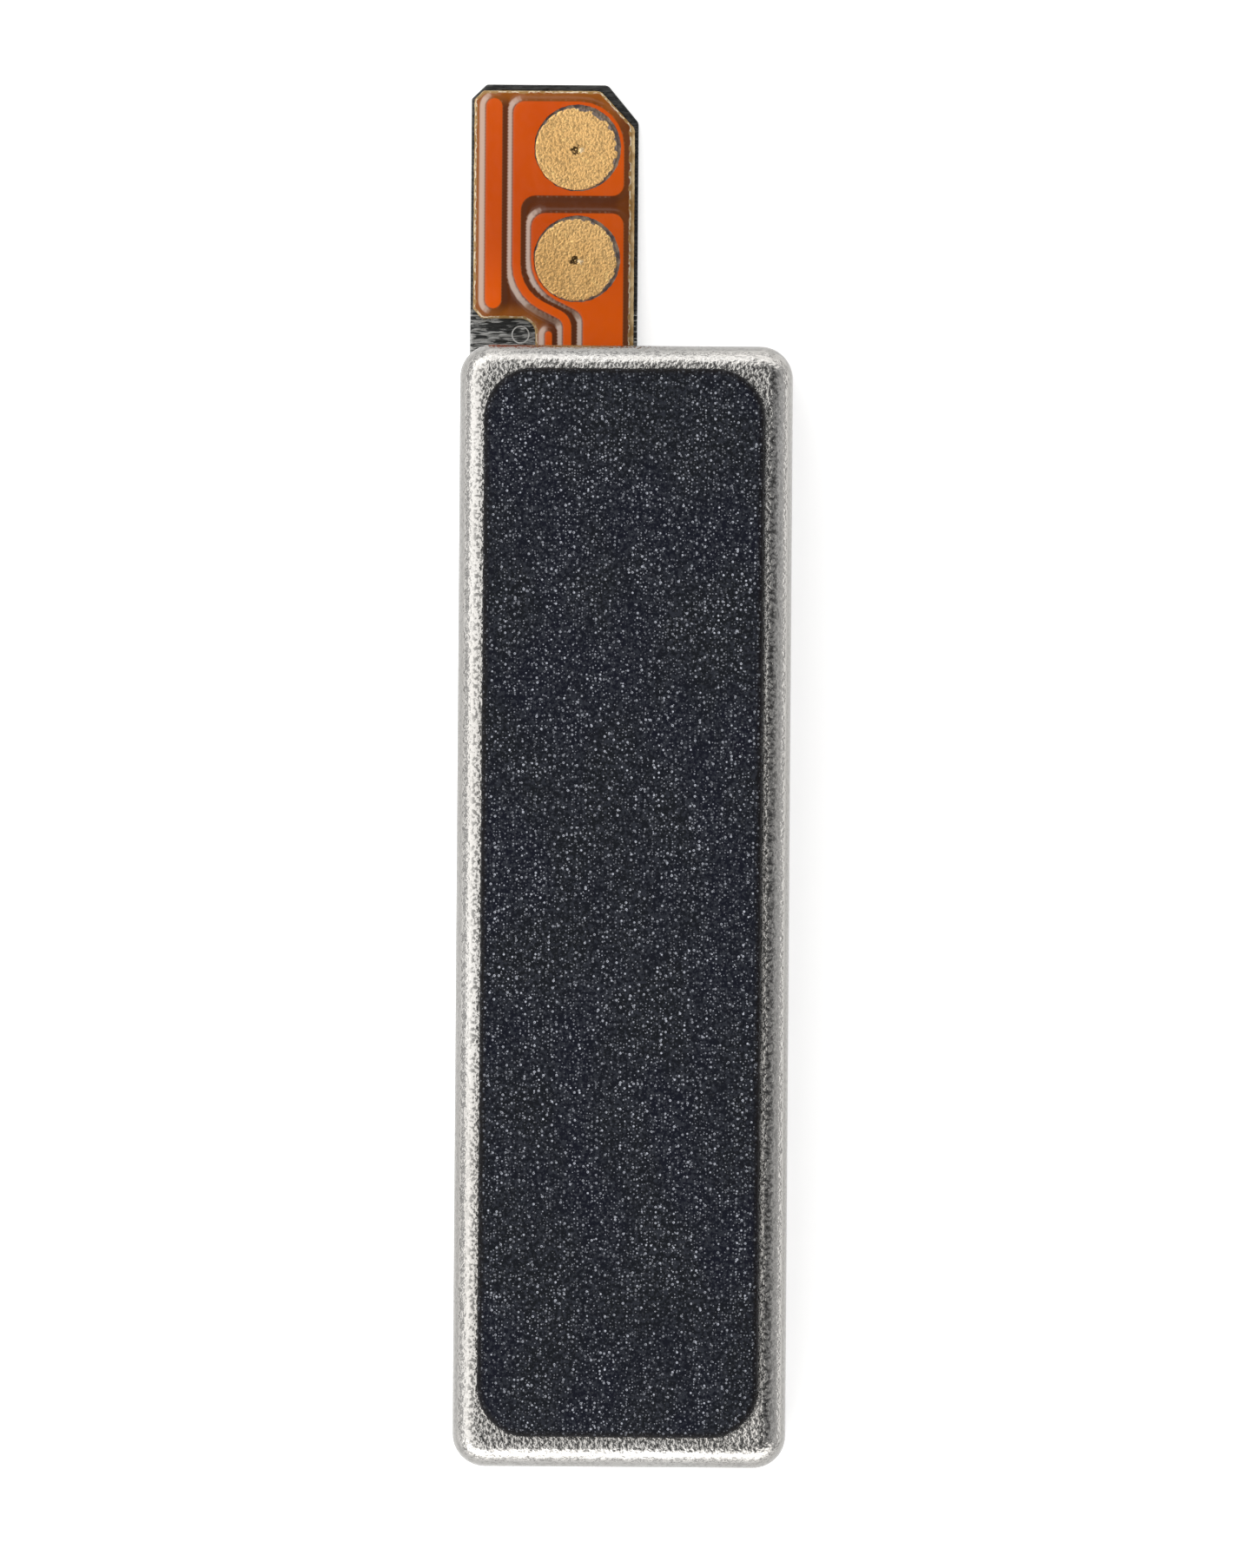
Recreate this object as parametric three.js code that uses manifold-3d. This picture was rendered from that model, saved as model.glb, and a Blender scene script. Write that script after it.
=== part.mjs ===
// A linear vibration motor for a handheld device: a slim drawn-steel case with a foam pad on top, and a steel
// tongue that carries a flex circuit with two round contact pads. Inside, a tungsten mass with three magnets
// slides along the case on two V-shaped leaf springs, over a flat coil.
//
// Millimetres. X is across the case, Y is along it, towards the tongue, and Z is up, from the base plate to the pad.
// The origin is on the underside of the base plate, in the middle of the case.

import * as THREE from "three";
import { mergeVertices } from "three/addons/utils/BufferGeometryUtils.js";
import Module from "manifold-3d";

const wasm = await Module();
wasm.setup();

// Driving dimensions
const CASE_WIDTH = 4.6;
const CASE_LENGTH = 15.5;
const CASE_HEIGHT = 3.0; // base plate and shell together
const SHEET = 0.2; // thickness of the base plate and of the shell's wall
const CASE_CORNER = 0.45; // radius of the case's upright corners
const CASE_EDGE = 0.32; // radius where the shell's top meets its walls
const CASE_INNER_EDGE = 0.12; // the same inside
const BASE_MARGIN = 0.05; // how far the base plate stops short of the shell's outside
const GLUE_LINE = 0.005; // gap between layers that are glued or welded face to face
const STROKE = 0.5; // travel of the mass each way

const CAVITY_X = CASE_WIDTH / 2 - SHEET;
const CAVITY_Y = CASE_LENGTH / 2 - SHEET;
const CAVITY_TOP = CASE_HEIGHT - SHEET;
const CASE_END = CASE_LENGTH / 2;

// The flex circuit's layers, from the base plate up
const ADHESIVE = layerOn(SHEET, 0.025);
const FILM = layerOn(ADHESIVE.top, 0.04);
const COPPER = layerOn(FILM.top, 0.035);
const COVERLAY = layerOn(FILM.top, 0.08);
const GOLD = layerOn(COPPER.top, 0.03);

// The tongue, the flex on it, and the neck where the flex passes under the shell
const TONGUE_LENGTH = 3.65;
const TONGUE_LEFT = -2.18;
const TONGUE_RIGHT = 0.14;
const TONGUE_TIP = CASE_END + TONGUE_LENGTH;
const TONGUE_CHAMFER_X = 0.43;
const TONGUE_CHAMFER_Y = 0.52;
const FLEX_LEFT = -2.145;
const FLEX_RIGHT = 0.092;
const FLEX_TIP = 11.32;
const FLEX_HEEL = 8.145; // where the wide part of the flex ends and the neck begins
const NECK_LEFT = -1.28;
const SLOT_CLEARANCE = 0.1;
const SLOT_TOP = COVERLAY.top + 0.06;

// Contact pads and copper traces
const CONTACT_RADIUS = 0.575;
const CONTACT_X = -0.72;
const OUTER_CONTACT_Y = 10.51;
const INNER_CONTACT_Y = 8.97;
const WINDOW_CLEARANCE = 0.02;
const TRACE_WIDTH = 0.12;
const SLANT = 0.5; // slope of the copper's slanted edges, where they step over to the neck
const ISLAND_MARGIN = 0.05; // copper beyond a contact pad, in its island: the wide patch under the pad
const ISLAND_RIGHT = -0.06;
const OUTER_ISLAND_TOP = 11.17;
const OUTER_ISLAND_BOTTOM = 9.86;
const INNER_ISLAND_TOP = 9.62;
const OUTER_TRACE_X = -1.545; // beside the pads
const NECK_TRACE_X = -0.834; // in the neck
const INNER_NECK_LEFT = -0.62;
const INNER_SHOULDER_Y = 6.9; // inside the case the inner pad's copper narrows from the neck to a trace
const INNER_TRACE_WIDTH = 0.2;
const GUARD = { x: -1.865, width: 0.23, bottom: 8.29, top: 11.21 };
const STUB = { x: -1.092, width: 0.1, bottom: 6.95, top: 7.98 };
const LAND_Y = 3.3;
const LAND_RADIUS = 0.2;
const LAND_WINDOW = 0.17;
const INNER_LAND_X = -0.367;
const POCKET_CLEARANCE = 0.01; // between a trace and the cover film moulded over it

// Coil and magnets
const COIL_WIDTH = 3.3;
const COIL_LENGTH = 5.4;
const COIL_BUILD = 1.27; // width of the winding
const COIL_HEIGHT = 0.55;
const COIL = layerOn(COVERLAY.top, COIL_HEIGHT);
const AIR_GAP = 0.15;
const MAGNET_WIDTH = 3.0;
const OUTER_MAGNET_LENGTH = 2.18;
const MIDDLE_MAGNET_LENGTH = 2.16;
const MAGNET_SPACE = 0.04;
const MAGNET_CORNER = 0.08;
const FIT = 0.02; // clearance of a piece glued into a pocket

// Moving mass
const MASS_X = 1.85;
const MASS_Y = 5.4;
const MASS_BOTTOM = 0.55;
const MASS_TOP = 2.65;
const MASS_WAIST_Y = 4.2; // the mass is thinner between these planes, over the coil
const MASS_WAIST_Z = COIL.top + AIR_GAP;
const POLE_PLATE_THICKNESS = 0.2;
const MAGNETS_END = MIDDLE_MAGNET_LENGTH / 2 + MAGNET_SPACE + OUTER_MAGNET_LENGTH;
const POLE_PLATE_BOTTOM = MASS_TOP - POLE_PLATE_THICKNESS;

// Leaf springs, seen from above: a V whose open end is welded to the mass on one side and to the case on the other
const SPRING_THICKNESS = 0.1;
const SPRING_BOTTOM = 0.95;
const SPRING_TOP = 2.55;
const SPRING_FOOT_TIP = -1.75; // each foot runs from here to SPRING_FOOT_END
const SPRING_FOOT_END = -0.8;
const SPRING_BEND_X = 1.4;
const SPRING_BEND_RADIUS = 0.24;
const MASS_FOOT_Y = MASS_Y + FIT + SPRING_THICKNESS / 2;
const CASE_FOOT_Y = CAVITY_Y - FIT - SPRING_THICKNESS / 2;
const KEEPER_THICKNESS = 0.1;
const KEEPER_LENGTH = 0.68;
const KEEPER_MARGIN = 0.12; // how far the keepers stop short of the spring's edges
const DAMPER_LEFT = 0.4;
const DAMPER_RIGHT = 1.1;
const DAMPER_MARGIN = 0.1;

// Elastomer stops on the base plate, just beyond the stroke
const STOP_GAP = STROKE + 0.05;
const STOP_DEPTH = 0.55;
const STOP_WIDTH = 1.4;
const STOP_TOP = 0.85;
const FRONT_STOP_X = 1.1; // beside the flex

// Foam pad
const PAD_WIDTH = 3.91;
const PAD_LENGTH = 14.8;
const PAD_CORNER = 0.7;
const PAD_SHIFT = { x: -0.025, y: 0.047 }; // the pad is stuck on a little off centre
const PAD_FILM = layerOn(CASE_HEIGHT, 0.03);
const PAD_FOAM = layerOn(PAD_FILM.top, 0.22);

const ARC_STEPS = 6; // segments in a quarter turn

// Materials
const steel = metal(0xc9c6c0, 0.42);
const tongueSteel = metal(0x6f7173, 0.5);
const springSteel = metal(0xb9bcbf, 0.3);
const copper = metal(0xb8622f, 0.35);
const gold = metal(0xd6ae68, 0.55);
const enamelledCopper = metal(0xa34a20, 0.3);
const solder = metal(0xc4c7ca, 0.25);
const nickel = metal(0xaeb2b5, 0.25);
const tungsten = metal(0x77797c, 0.5);
const foam = dull(0x15161a, 0.95);
const filmGlue = dull(0x2a2622, 0.6);
const polyimide = dull(0x6e3a14, 0.35);
const coverFilm = dull(0xc5541a, 0.3);
const rubber = dull(0x232326, 0.85);

const motor = new THREE.Group();

// Case
const plateWidth = CASE_WIDTH - 2 * BASE_MARGIN;
const plateLength = CASE_LENGTH - 2 * BASE_MARGIN;
const footprint = prism(rectangle(plateWidth, plateLength, CASE_CORNER - BASE_MARGIN), 0, SHEET);
const tongue = prism(tongueOutline(), 0, SHEET);
add("base_plate", unite(footprint, tongue), tongueSteel);
add("case_shell", shell(), steel);
add("cover_pad_adhesive", padLayer(PAD_FILM, 0.03), filmGlue);
add("cover_pad", padLayer(PAD_FOAM, 0), foam);

// Flex circuit
const flex = flexOutline();
const traces = {
  trace_guard: guardTrace(),
  trace_stub: stubTrace(),
  trace_outer_pad: outerTrace(),
  trace_inner_pad: innerTrace(),
};
add("flex_adhesive", prism(grown(flex, -0.02), ADHESIVE.bottom, ADHESIVE.top), filmGlue);
add("flex_film", prism(flex, FILM.bottom, FILM.top), polyimide);
for (const [name, parts] of Object.entries(traces)) {
  add(name, traceSolid(parts, 0, COPPER.bottom, COPPER.top), copper);
}
add("flex_coverlay", coverlay(), coverFilm);
for (const [name, y] of [
  ["outer", OUTER_CONTACT_Y],
  ["inner", INNER_CONTACT_Y],
]) {
  const face = disc(CONTACT_RADIUS, CONTACT_X, y, GOLD.bottom, GOLD.top);
  add(`contact_pad_${name}`, face, gold);
}

// Coil, its two leads and their solder joints
add("voice_coil", coil(), enamelledCopper);
for (const [name, x, coilX] of [
  ["start", NECK_TRACE_X, NECK_TRACE_X - 0.12],
  ["finish", INNER_LAND_X, INNER_LAND_X + 0.14],
]) {
  add(`coil_lead_${name}`, lead(coilX, x), enamelledCopper);
  add(`solder_joint_${name}`, solderDome(), solder).position.set(x, LAND_Y, GOLD.bottom);
}

// End stops
const stopY = MASS_Y + STOP_GAP + STOP_DEPTH / 2;
for (const [name, x, y] of [
  ["front", FRONT_STOP_X, stopY],
  ["rear", 0, -stopY],
]) {
  const block = prism(rectangle(STOP_WIDTH, STOP_DEPTH, 0.12), SHEET + GLUE_LINE, STOP_TOP);
  add(`end_stop_${name}`, block, rubber).position.set(x, y, 0);
}

// Moving mass with its magnets and pole plate
add("mass_block", massBlock(), tungsten);
const magnetY = MAGNETS_END - OUTER_MAGNET_LENGTH / 2;
for (const [name, length, y] of [
  ["front", OUTER_MAGNET_LENGTH, magnetY],
  ["middle", MIDDLE_MAGNET_LENGTH, 0],
  ["rear", OUTER_MAGNET_LENGTH, -magnetY],
]) {
  const top = POLE_PLATE_BOTTOM - GLUE_LINE;
  const block = prism(rectangle(MAGNET_WIDTH, length, MAGNET_CORNER), MASS_WAIST_Z, top);
  add(`magnet_${name}`, block, nickel).position.y = y;
}
const polePlate = rectangle(MAGNET_WIDTH, 2 * MAGNETS_END, MAGNET_CORNER);
add("pole_plate", prism(polePlate, POLE_PLATE_BOTTOM, MASS_TOP), nickel);

// Leaf springs with their keepers and dampers: the rear set is the front set turned half round
for (const [name, turn] of [
  ["front", 0],
  ["rear", Math.PI],
]) {
  const end = new THREE.Group();
  end.rotation.z = turn;
  motor.add(end);
  const spring = ribbon(springLine(), SPRING_THICKNESS);
  add(`leaf_spring_${name}`, prism(spring, SPRING_BOTTOM, SPRING_TOP), springSteel, end);
  add(`spring_keeper_mass_${name}`, keeper(MASS_FOOT_Y, 1), springSteel, end);
  add(`spring_keeper_case_${name}`, keeper(CASE_FOOT_Y, -1), springSteel, end);
  add(`foam_damper_${name}`, damper(), foam, end);
}

// Shapes of the pieces

function shell() {
  const depth = 1; // both blocks start this far below the base plate, and are cut off at its top
  const outline = rectangle(CASE_WIDTH, CASE_LENGTH, CASE_CORNER);
  const outer = solid(domedBlock(outline, CASE_EDGE, -depth, CASE_HEIGHT));
  const room = rectangle(2 * CAVITY_X, 2 * CAVITY_Y, CASE_CORNER - SHEET);
  const inner = solid(domedBlock(room, CASE_INNER_EDGE, -depth, CAVITY_TOP));
  const rim = SHEET + GLUE_LINE;
  const below = solid(prism(rectangle(2 * CASE_WIDTH, 2 * CASE_LENGTH, 0), -2 * depth, rim));
  const left = NECK_LEFT - SLOT_CLEARANCE;
  const right = FLEX_RIGHT + SLOT_CLEARANCE;
  const slot = roundedOutline([
    [left, CAVITY_Y - SHEET],
    [right, CAVITY_Y - SHEET],
    [right, CASE_END + SHEET],
    [left, CASE_END + SHEET],
  ]);
  return geometryOf(
    outer.subtract(inner).subtract(below).subtract(solid(prism(slot, 0, SLOT_TOP))),
  );
}

function tongueOutline() {
  return roundedOutline([
    [TONGUE_LEFT, CASE_END - 2 * CASE_CORNER],
    [TONGUE_RIGHT, CASE_END - 2 * CASE_CORNER],
    [TONGUE_RIGHT, TONGUE_TIP - TONGUE_CHAMFER_Y, 0.1],
    [TONGUE_RIGHT - TONGUE_CHAMFER_X, TONGUE_TIP, 0.1],
    [TONGUE_LEFT + 0.21, TONGUE_TIP, 0.05],
    [TONGUE_LEFT, TONGUE_TIP - 0.2, 0.05],
  ]);
}

function padLayer(layer, inset) {
  const outline = rectangle(PAD_WIDTH - 2 * inset, PAD_LENGTH - 2 * inset, PAD_CORNER - inset);
  return prism(outline, layer.bottom, layer.top).translate(PAD_SHIFT.x, PAD_SHIFT.y, 0);
}

// The wide part lies on the tongue. The neck goes through the slot, and widens to a bed under the coil.
function flexOutline() {
  const bedX = COIL_WIDTH / 2;
  return roundedOutline([
    [-bedX, -COIL_LENGTH / 2 - 0.2, 0.2],
    [bedX, -COIL_LENGTH / 2 - 0.2, 0.2],
    [bedX, LAND_Y + 0.1, 0.2],
    [FLEX_RIGHT, LAND_Y + 1.2, 0.3],
    [FLEX_RIGHT, FLEX_TIP - TONGUE_CHAMFER_Y, 0.12],
    [FLEX_RIGHT - 0.48, FLEX_TIP, 0.12],
    [FLEX_LEFT + 0.13, FLEX_TIP, 0.05],
    [FLEX_LEFT, FLEX_TIP - 0.13, 0.05],
    [FLEX_LEFT, FLEX_HEEL + 0.14, 0.05],
    [FLEX_LEFT + 0.12, FLEX_HEEL, 0.08],
    [NECK_LEFT, FLEX_HEEL, 0.2],
    [NECK_LEFT, LAND_Y + 0.7, 0.2],
    [-bedX, LAND_Y + 0.1, 0.2],
  ]);
}

// Each trace is a list of outlines that are joined.
function guardTrace() {
  return [bar(GUARD)];
}

function stubTrace() {
  return [bar(STUB)];
}

// An outline with round ends
function bar({ x, width, bottom, top }) {
  const middle = new THREE.Vector2(x, (bottom + top) / 2);
  return rectangle(width, top - bottom, width / 2).map((point) => point.add(middle));
}

// The S that the outer pad's trace makes round the inner pad, between its two straight stretches
function traceBend() {
  const start = new THREE.Vector2(OUTER_TRACE_X, INNER_CONTACT_Y);
  const first = new THREE.Vector2(OUTER_TRACE_X, 8.51);
  const second = new THREE.Vector2(NECK_TRACE_X, slantFrom(first, NECK_TRACE_X));
  const end = new THREE.Vector2(NECK_TRACE_X, CASE_END);
  return [
    ...filletPoints(start, first, second, 0.63),
    ...filletPoints(first, second, end, 0.2),
  ];
}

// The height at x of the slanted line through a point, which falls to the right
function slantFrom(point, x) {
  return point.y - SLANT * (x - point.x);
}

function outerTrace() {
  const half = TRACE_WIDTH / 2;
  const left = offsetLine(traceBend(), -half);
  const right = offsetLine(traceBend(), half);
  const island = roundedOutline([
    [left[0].x, OUTER_ISLAND_TOP, 0.16],
    [ISLAND_RIGHT, OUTER_ISLAND_TOP, 0.62],
    [ISLAND_RIGHT, OUTER_ISLAND_BOTTOM, 0.16],
    [right[0].x, OUTER_ISLAND_BOTTOM, 0.2],
    ...sharp(right),
    [NECK_TRACE_X + half, LAND_Y],
    [NECK_TRACE_X - half, LAND_Y],
    ...sharp(left.reverse()),
  ]);
  return [island, circle(LAND_RADIUS, NECK_TRACE_X, LAND_Y)];
}

function innerTrace() {
  const half = INNER_TRACE_WIDTH / 2;
  const round = CONTACT_RADIUS + ISLAND_MARGIN; // the lower left edge goes round the contact pad
  const left = CONTACT_X - round;
  const tangent = Math.atan(1 / SLANT) / 2;
  const corner = { x: left, y: INNER_CONTACT_Y - round * Math.tan(tangent) };
  const island = roundedOutline([
    [left, INNER_ISLAND_TOP, 0.2],
    [ISLAND_RIGHT, INNER_ISLAND_TOP, 0.16],
    [ISLAND_RIGHT, INNER_SHOULDER_Y, 0.1],
    [INNER_LAND_X + half, INNER_SHOULDER_Y, 0.1],
    [INNER_LAND_X + half, LAND_Y],
    [INNER_LAND_X - half, LAND_Y],
    [INNER_LAND_X - half, INNER_SHOULDER_Y, 0.1],
    [INNER_NECK_LEFT, INNER_SHOULDER_Y, 0.1],
    [INNER_NECK_LEFT, slantFrom(corner, INNER_NECK_LEFT), 0.2],
    [corner.x, corner.y, round],
  ]);
  return [island, circle(LAND_RADIUS, INNER_LAND_X, LAND_Y)];
}

function traceSolid(outlines, growth, bottom, top) {
  return outlines
    .map((outline) => prism(grown(outline, growth), bottom, top))
    .reduce((a, b) => unite(a, b));
}

function coverlay() {
  let cover = solid(prism(flexOutline(), COVERLAY.bottom, COVERLAY.top));
  for (const parts of Object.values(traces)) {
    const top = COPPER.top + GLUE_LINE;
    cover = cover.subtract(solid(traceSolid(parts, POCKET_CLEARANCE, FILM.bottom, top)));
  }
  for (const [radius, x, y] of [
    [CONTACT_RADIUS + WINDOW_CLEARANCE, CONTACT_X, OUTER_CONTACT_Y],
    [CONTACT_RADIUS + WINDOW_CLEARANCE, CONTACT_X, INNER_CONTACT_Y],
    [LAND_WINDOW, NECK_TRACE_X, LAND_Y],
    [LAND_WINDOW, INNER_LAND_X, LAND_Y],
  ]) {
    cover = cover.subtract(solid(disc(radius, x, y, FILM.bottom, COIL.top)));
  }
  return geometryOf(cover);
}

function coil() {
  const shape = new THREE.Shape(rectangle(COIL_WIDTH, COIL_LENGTH, 1.4));
  const windowX = COIL_WIDTH - 2 * COIL_BUILD;
  const windowY = COIL_LENGTH - 2 * COIL_BUILD;
  shape.holes.push(new THREE.Path(rectangle(windowX, windowY, 0.25)));
  return extrude(shape, COIL.bottom, COIL.top);
}

// A bare wire from the end of the coil to the side of a solder joint
function lead(coilX, landX) {
  const radius = 0.03;
  const line = new THREE.CatmullRomCurve3([
    new THREE.Vector3(coilX, COIL_LENGTH / 2 + radius, 0.72),
    new THREE.Vector3(coilX, COIL_LENGTH / 2 + 0.14, 0.66),
    new THREE.Vector3(landX, LAND_Y - 0.28, 0.47),
    new THREE.Vector3(landX, LAND_Y - LAND_WINDOW, 0.42),
  ]);
  const section = new THREE.Shape(circle(radius, 0, 0, 2));
  return new THREE.ExtrudeGeometry(section, { extrudePath: line, steps: 10 });
}

function solderDome() {
  const height = 0.16;
  const radius = LAND_WINDOW - 0.02;
  const profile = [new THREE.Vector2(0, 0)];
  for (let i = 0; i <= ARC_STEPS; i++) {
    const a = (Math.PI / 2) * (i / ARC_STEPS);
    profile.push(new THREE.Vector2(i < ARC_STEPS ? radius * Math.cos(a) : 0, height * Math.sin(a)));
  }
  return new THREE.LatheGeometry(profile, 2 * ARC_STEPS).rotateX(Math.PI / 2);
}

function massBlock() {
  const outline = rectangle(2 * MASS_X, 2 * MASS_Y, 0.2);
  const waist = rectangle(3 * MASS_X, 2 * MASS_WAIST_Y, 0);
  const pocket = rectangle(MAGNET_WIDTH + 2 * FIT, 2 * (MAGNETS_END + FIT), MAGNET_CORNER);
  return geometryOf(
    solid(prism(outline, MASS_BOTTOM, MASS_TOP))
      .subtract(solid(prism(waist, 0, MASS_WAIST_Z)))
      .subtract(solid(prism(pocket, 0, CASE_HEIGHT))),
  );
}

// From the foot on the mass, across to the bend, and back to the foot on the case
function springLine() {
  const middle = (MASS_FOOT_Y + CASE_FOOT_Y) / 2;
  const line = [
    new THREE.Vector2(SPRING_FOOT_TIP, MASS_FOOT_Y),
    new THREE.Vector2(SPRING_FOOT_END - 0.15, MASS_FOOT_Y),
    new THREE.Vector2(SPRING_FOOT_END, MASS_FOOT_Y + 0.02),
  ];
  for (let i = 0; i <= 2 * ARC_STEPS; i++) {
    const a = -Math.PI / 2 + Math.PI * (i / (2 * ARC_STEPS));
    const x = SPRING_BEND_X + SPRING_BEND_RADIUS * Math.cos(a);
    line.push(new THREE.Vector2(x, middle + SPRING_BEND_RADIUS * Math.sin(a)));
  }
  line.push(
    new THREE.Vector2(SPRING_FOOT_END, CASE_FOOT_Y - 0.02),
    new THREE.Vector2(SPRING_FOOT_END - 0.15, CASE_FOOT_Y),
    new THREE.Vector2(SPRING_FOOT_TIP, CASE_FOOT_Y),
  );
  return line;
}

// A plate on the inner side of a spring foot, which spreads the weld's load. side is 1 above the foot, -1 below.
function keeper(footY, side) {
  const near = footY + side * (SPRING_THICKNESS / 2 + GLUE_LINE);
  const far = near + side * KEEPER_THICKNESS;
  const outline = roundedOutline([
    [SPRING_FOOT_TIP, Math.min(near, far)],
    [SPRING_FOOT_TIP + KEEPER_LENGTH, Math.min(near, far)],
    [SPRING_FOOT_TIP + KEEPER_LENGTH, Math.max(near, far)],
    [SPRING_FOOT_TIP, Math.max(near, far)],
  ]);
  return prism(outline, SPRING_BOTTOM + KEEPER_MARGIN, SPRING_TOP - KEEPER_MARGIN);
}

// A foam wedge between the arms of the V, near the bend
function damper() {
  const middle = (MASS_FOOT_Y + CASE_FOOT_Y) / 2;
  const opening = (CASE_FOOT_Y - MASS_FOOT_Y) / 2 - 0.02 - SPRING_BEND_RADIUS;
  const halfGap = (x) => {
    const share = (SPRING_BEND_X - x) / (SPRING_BEND_X - SPRING_FOOT_END);
    return SPRING_BEND_RADIUS + opening * share - SPRING_THICKNESS / 2 - FIT;
  };
  const outline = roundedOutline([
    [DAMPER_LEFT, middle - halfGap(DAMPER_LEFT)],
    [DAMPER_RIGHT, middle - halfGap(DAMPER_RIGHT)],
    [DAMPER_RIGHT, middle + halfGap(DAMPER_RIGHT)],
    [DAMPER_LEFT, middle + halfGap(DAMPER_LEFT)],
  ]);
  return prism(outline, SPRING_BOTTOM + DAMPER_MARGIN, SPRING_TOP - DAMPER_MARGIN);
}

// Helpers

function layerOn(surface, thickness) {
  const bottom = surface + GLUE_LINE;
  return { bottom, top: bottom + thickness };
}

function metal(color, roughness) {
  return new THREE.MeshStandardMaterial({ color, roughness, metalness: 1 });
}

function dull(color, roughness) {
  return new THREE.MeshStandardMaterial({ color, roughness, metalness: 0 });
}

function add(name, geometry, material, parent = motor) {
  const mesh = new THREE.Mesh(geometry, material);
  mesh.name = name;
  parent.add(mesh);
  return mesh;
}

// Points round a closed outline whose corners are [x, y, radius]. A corner with no radius stays sharp.
function roundedOutline(corners) {
  const at = ([x, y]) => new THREE.Vector2(x, y);
  return corners.flatMap((corner, i) => {
    const radius = corner[2];
    if (!radius) return [at(corner)];
    const before = at(corners.at(i - 1));
    const after = at(corners[(i + 1) % corners.length]);
    return filletPoints(before, at(corner), after, radius);
  });
}

function sharp(line) {
  return line.map(({ x, y }) => [x, y]);
}

function filletPoints(before, corner, after, radius) {
  const back = before.clone().sub(corner).normalize();
  const on = after.clone().sub(corner).normalize();
  const half = Math.acos(back.dot(on)) / 2;
  const middle = back.clone().add(on).normalize();
  const centre = corner.clone().addScaledVector(middle, radius / Math.sin(half));
  const start = corner.clone().addScaledVector(back, radius / Math.tan(half)).sub(centre);
  const turn = Math.sign(back.cross(on)) * (Math.PI - 2 * half);
  const steps = Math.max(2, Math.ceil((Math.abs(turn) / (Math.PI / 2)) * ARC_STEPS));
  return Array.from({ length: steps + 1 }, (_, k) =>
    start.clone().rotateAround(new THREE.Vector2(), (-turn * k) / steps).add(centre),
  );
}

function rectangle(width, length, radius) {
  const [x, y] = [width / 2, length / 2];
  return roundedOutline([
    [-x, -y, radius],
    [x, -y, radius],
    [x, y, radius],
    [-x, y, radius],
  ]);
}

function circle(radius, x, y, stepsPerQuarter = 2 * ARC_STEPS) {
  const steps = 4 * stepsPerQuarter;
  return Array.from({ length: steps }, (_, i) => {
    const a = (2 * Math.PI * i) / steps;
    return new THREE.Vector2(x + radius * Math.cos(a), y + radius * Math.sin(a));
  });
}

// A line moved sideways: to its left where by is above 0, seen along the line.
function offsetLine(line, by) {
  return line.map((p, i) => {
    const along = line[Math.min(i + 1, line.length - 1)].clone().sub(line[Math.max(i - 1, 0)]);
    return new THREE.Vector2(-along.y, along.x).normalize().multiplyScalar(by).add(p);
  });
}

function ribbon(line, width) {
  return [...offsetLine(line, -width / 2), ...offsetLine(line, width / 2).reverse()];
}

// A closed outline moved outwards
function grown(outline, by) {
  const outwards = THREE.ShapeUtils.isClockWise(outline) ? 1 : -1;
  return outline.map((p, i) => {
    const back = p.clone().sub(outline.at(i - 1)).normalize();
    const on = outline[(i + 1) % outline.length].clone().sub(p).normalize();
    const normal = new THREE.Vector2(-back.y - on.y, back.x + on.x);
    return normal.multiplyScalar((outwards * by) / (1 + back.dot(on))).add(p);
  });
}

function extrude(shape, bottom, top) {
  const options = { depth: top - bottom, bevelEnabled: false };
  return new THREE.ExtrudeGeometry(shape, options).translate(0, 0, bottom);
}

function prism(outline, bottom, top) {
  return extrude(new THREE.Shape(outline), bottom, top);
}

function disc(radius, x, y, bottom, top) {
  return prism(circle(radius, x, y), bottom, top);
}

// A block whose upper and lower edges are rounded
function domedBlock(outline, radius, bottom, top) {
  return new THREE.ExtrudeGeometry(new THREE.Shape(outline), {
    depth: top - bottom - 2 * radius,
    bevelThickness: radius,
    bevelSize: radius,
    bevelOffset: -radius,
    bevelSegments: ARC_STEPS,
  }).translate(0, 0, bottom + radius);
}

function solid(geometry) {
  const bare = new THREE.BufferGeometry();
  bare.setAttribute("position", geometry.getAttribute("position"));
  if (geometry.index) bare.setIndex(geometry.index);
  const merged = mergeVertices(bare, 1e-5);
  return new wasm.Manifold(
    new wasm.Mesh({
      numProp: 3,
      vertProperties: merged.getAttribute("position").array,
      triVerts: new Uint32Array(merged.index.array),
    }),
  );
}

function geometryOf(manifold) {
  const mesh = manifold.getMesh();
  const geometry = new THREE.BufferGeometry();
  const points = new THREE.BufferAttribute(new Float32Array(mesh.vertProperties), 3);
  geometry.setAttribute("position", points);
  geometry.setIndex(new THREE.BufferAttribute(new Uint32Array(mesh.triVerts), 1));
  geometry.computeVertexNormals();
  return geometry;
}

function unite(a, b) {
  return geometryOf(solid(a).add(solid(b)));
}

export default motor;
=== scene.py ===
# %% [markdown]
# # A linear vibration motor, finished on its measured frame
#
# The motor is a steel can 15.5 mm long with a foam pad on top and a flex circuit tab at one end. Its CAD
# model fixes every size and place. This lesson gives it the surfaces that a maker would know: etched
# stainless, microcell foam, amber cover film over copper, gold contact pads, and the coil, magnets and
# springs inside.
#
# The whole object is less than 20 mm long, so two habits run through every cell. Shapes are worked out in
# millimetres and turned into metres only when a mesh is made. Tools with a built-in tolerance, such as
# merge-by-distance, are avoided, because their default of a tenth of a millimetre is thicker than the film.

# %% Load the frame
import math

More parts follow.
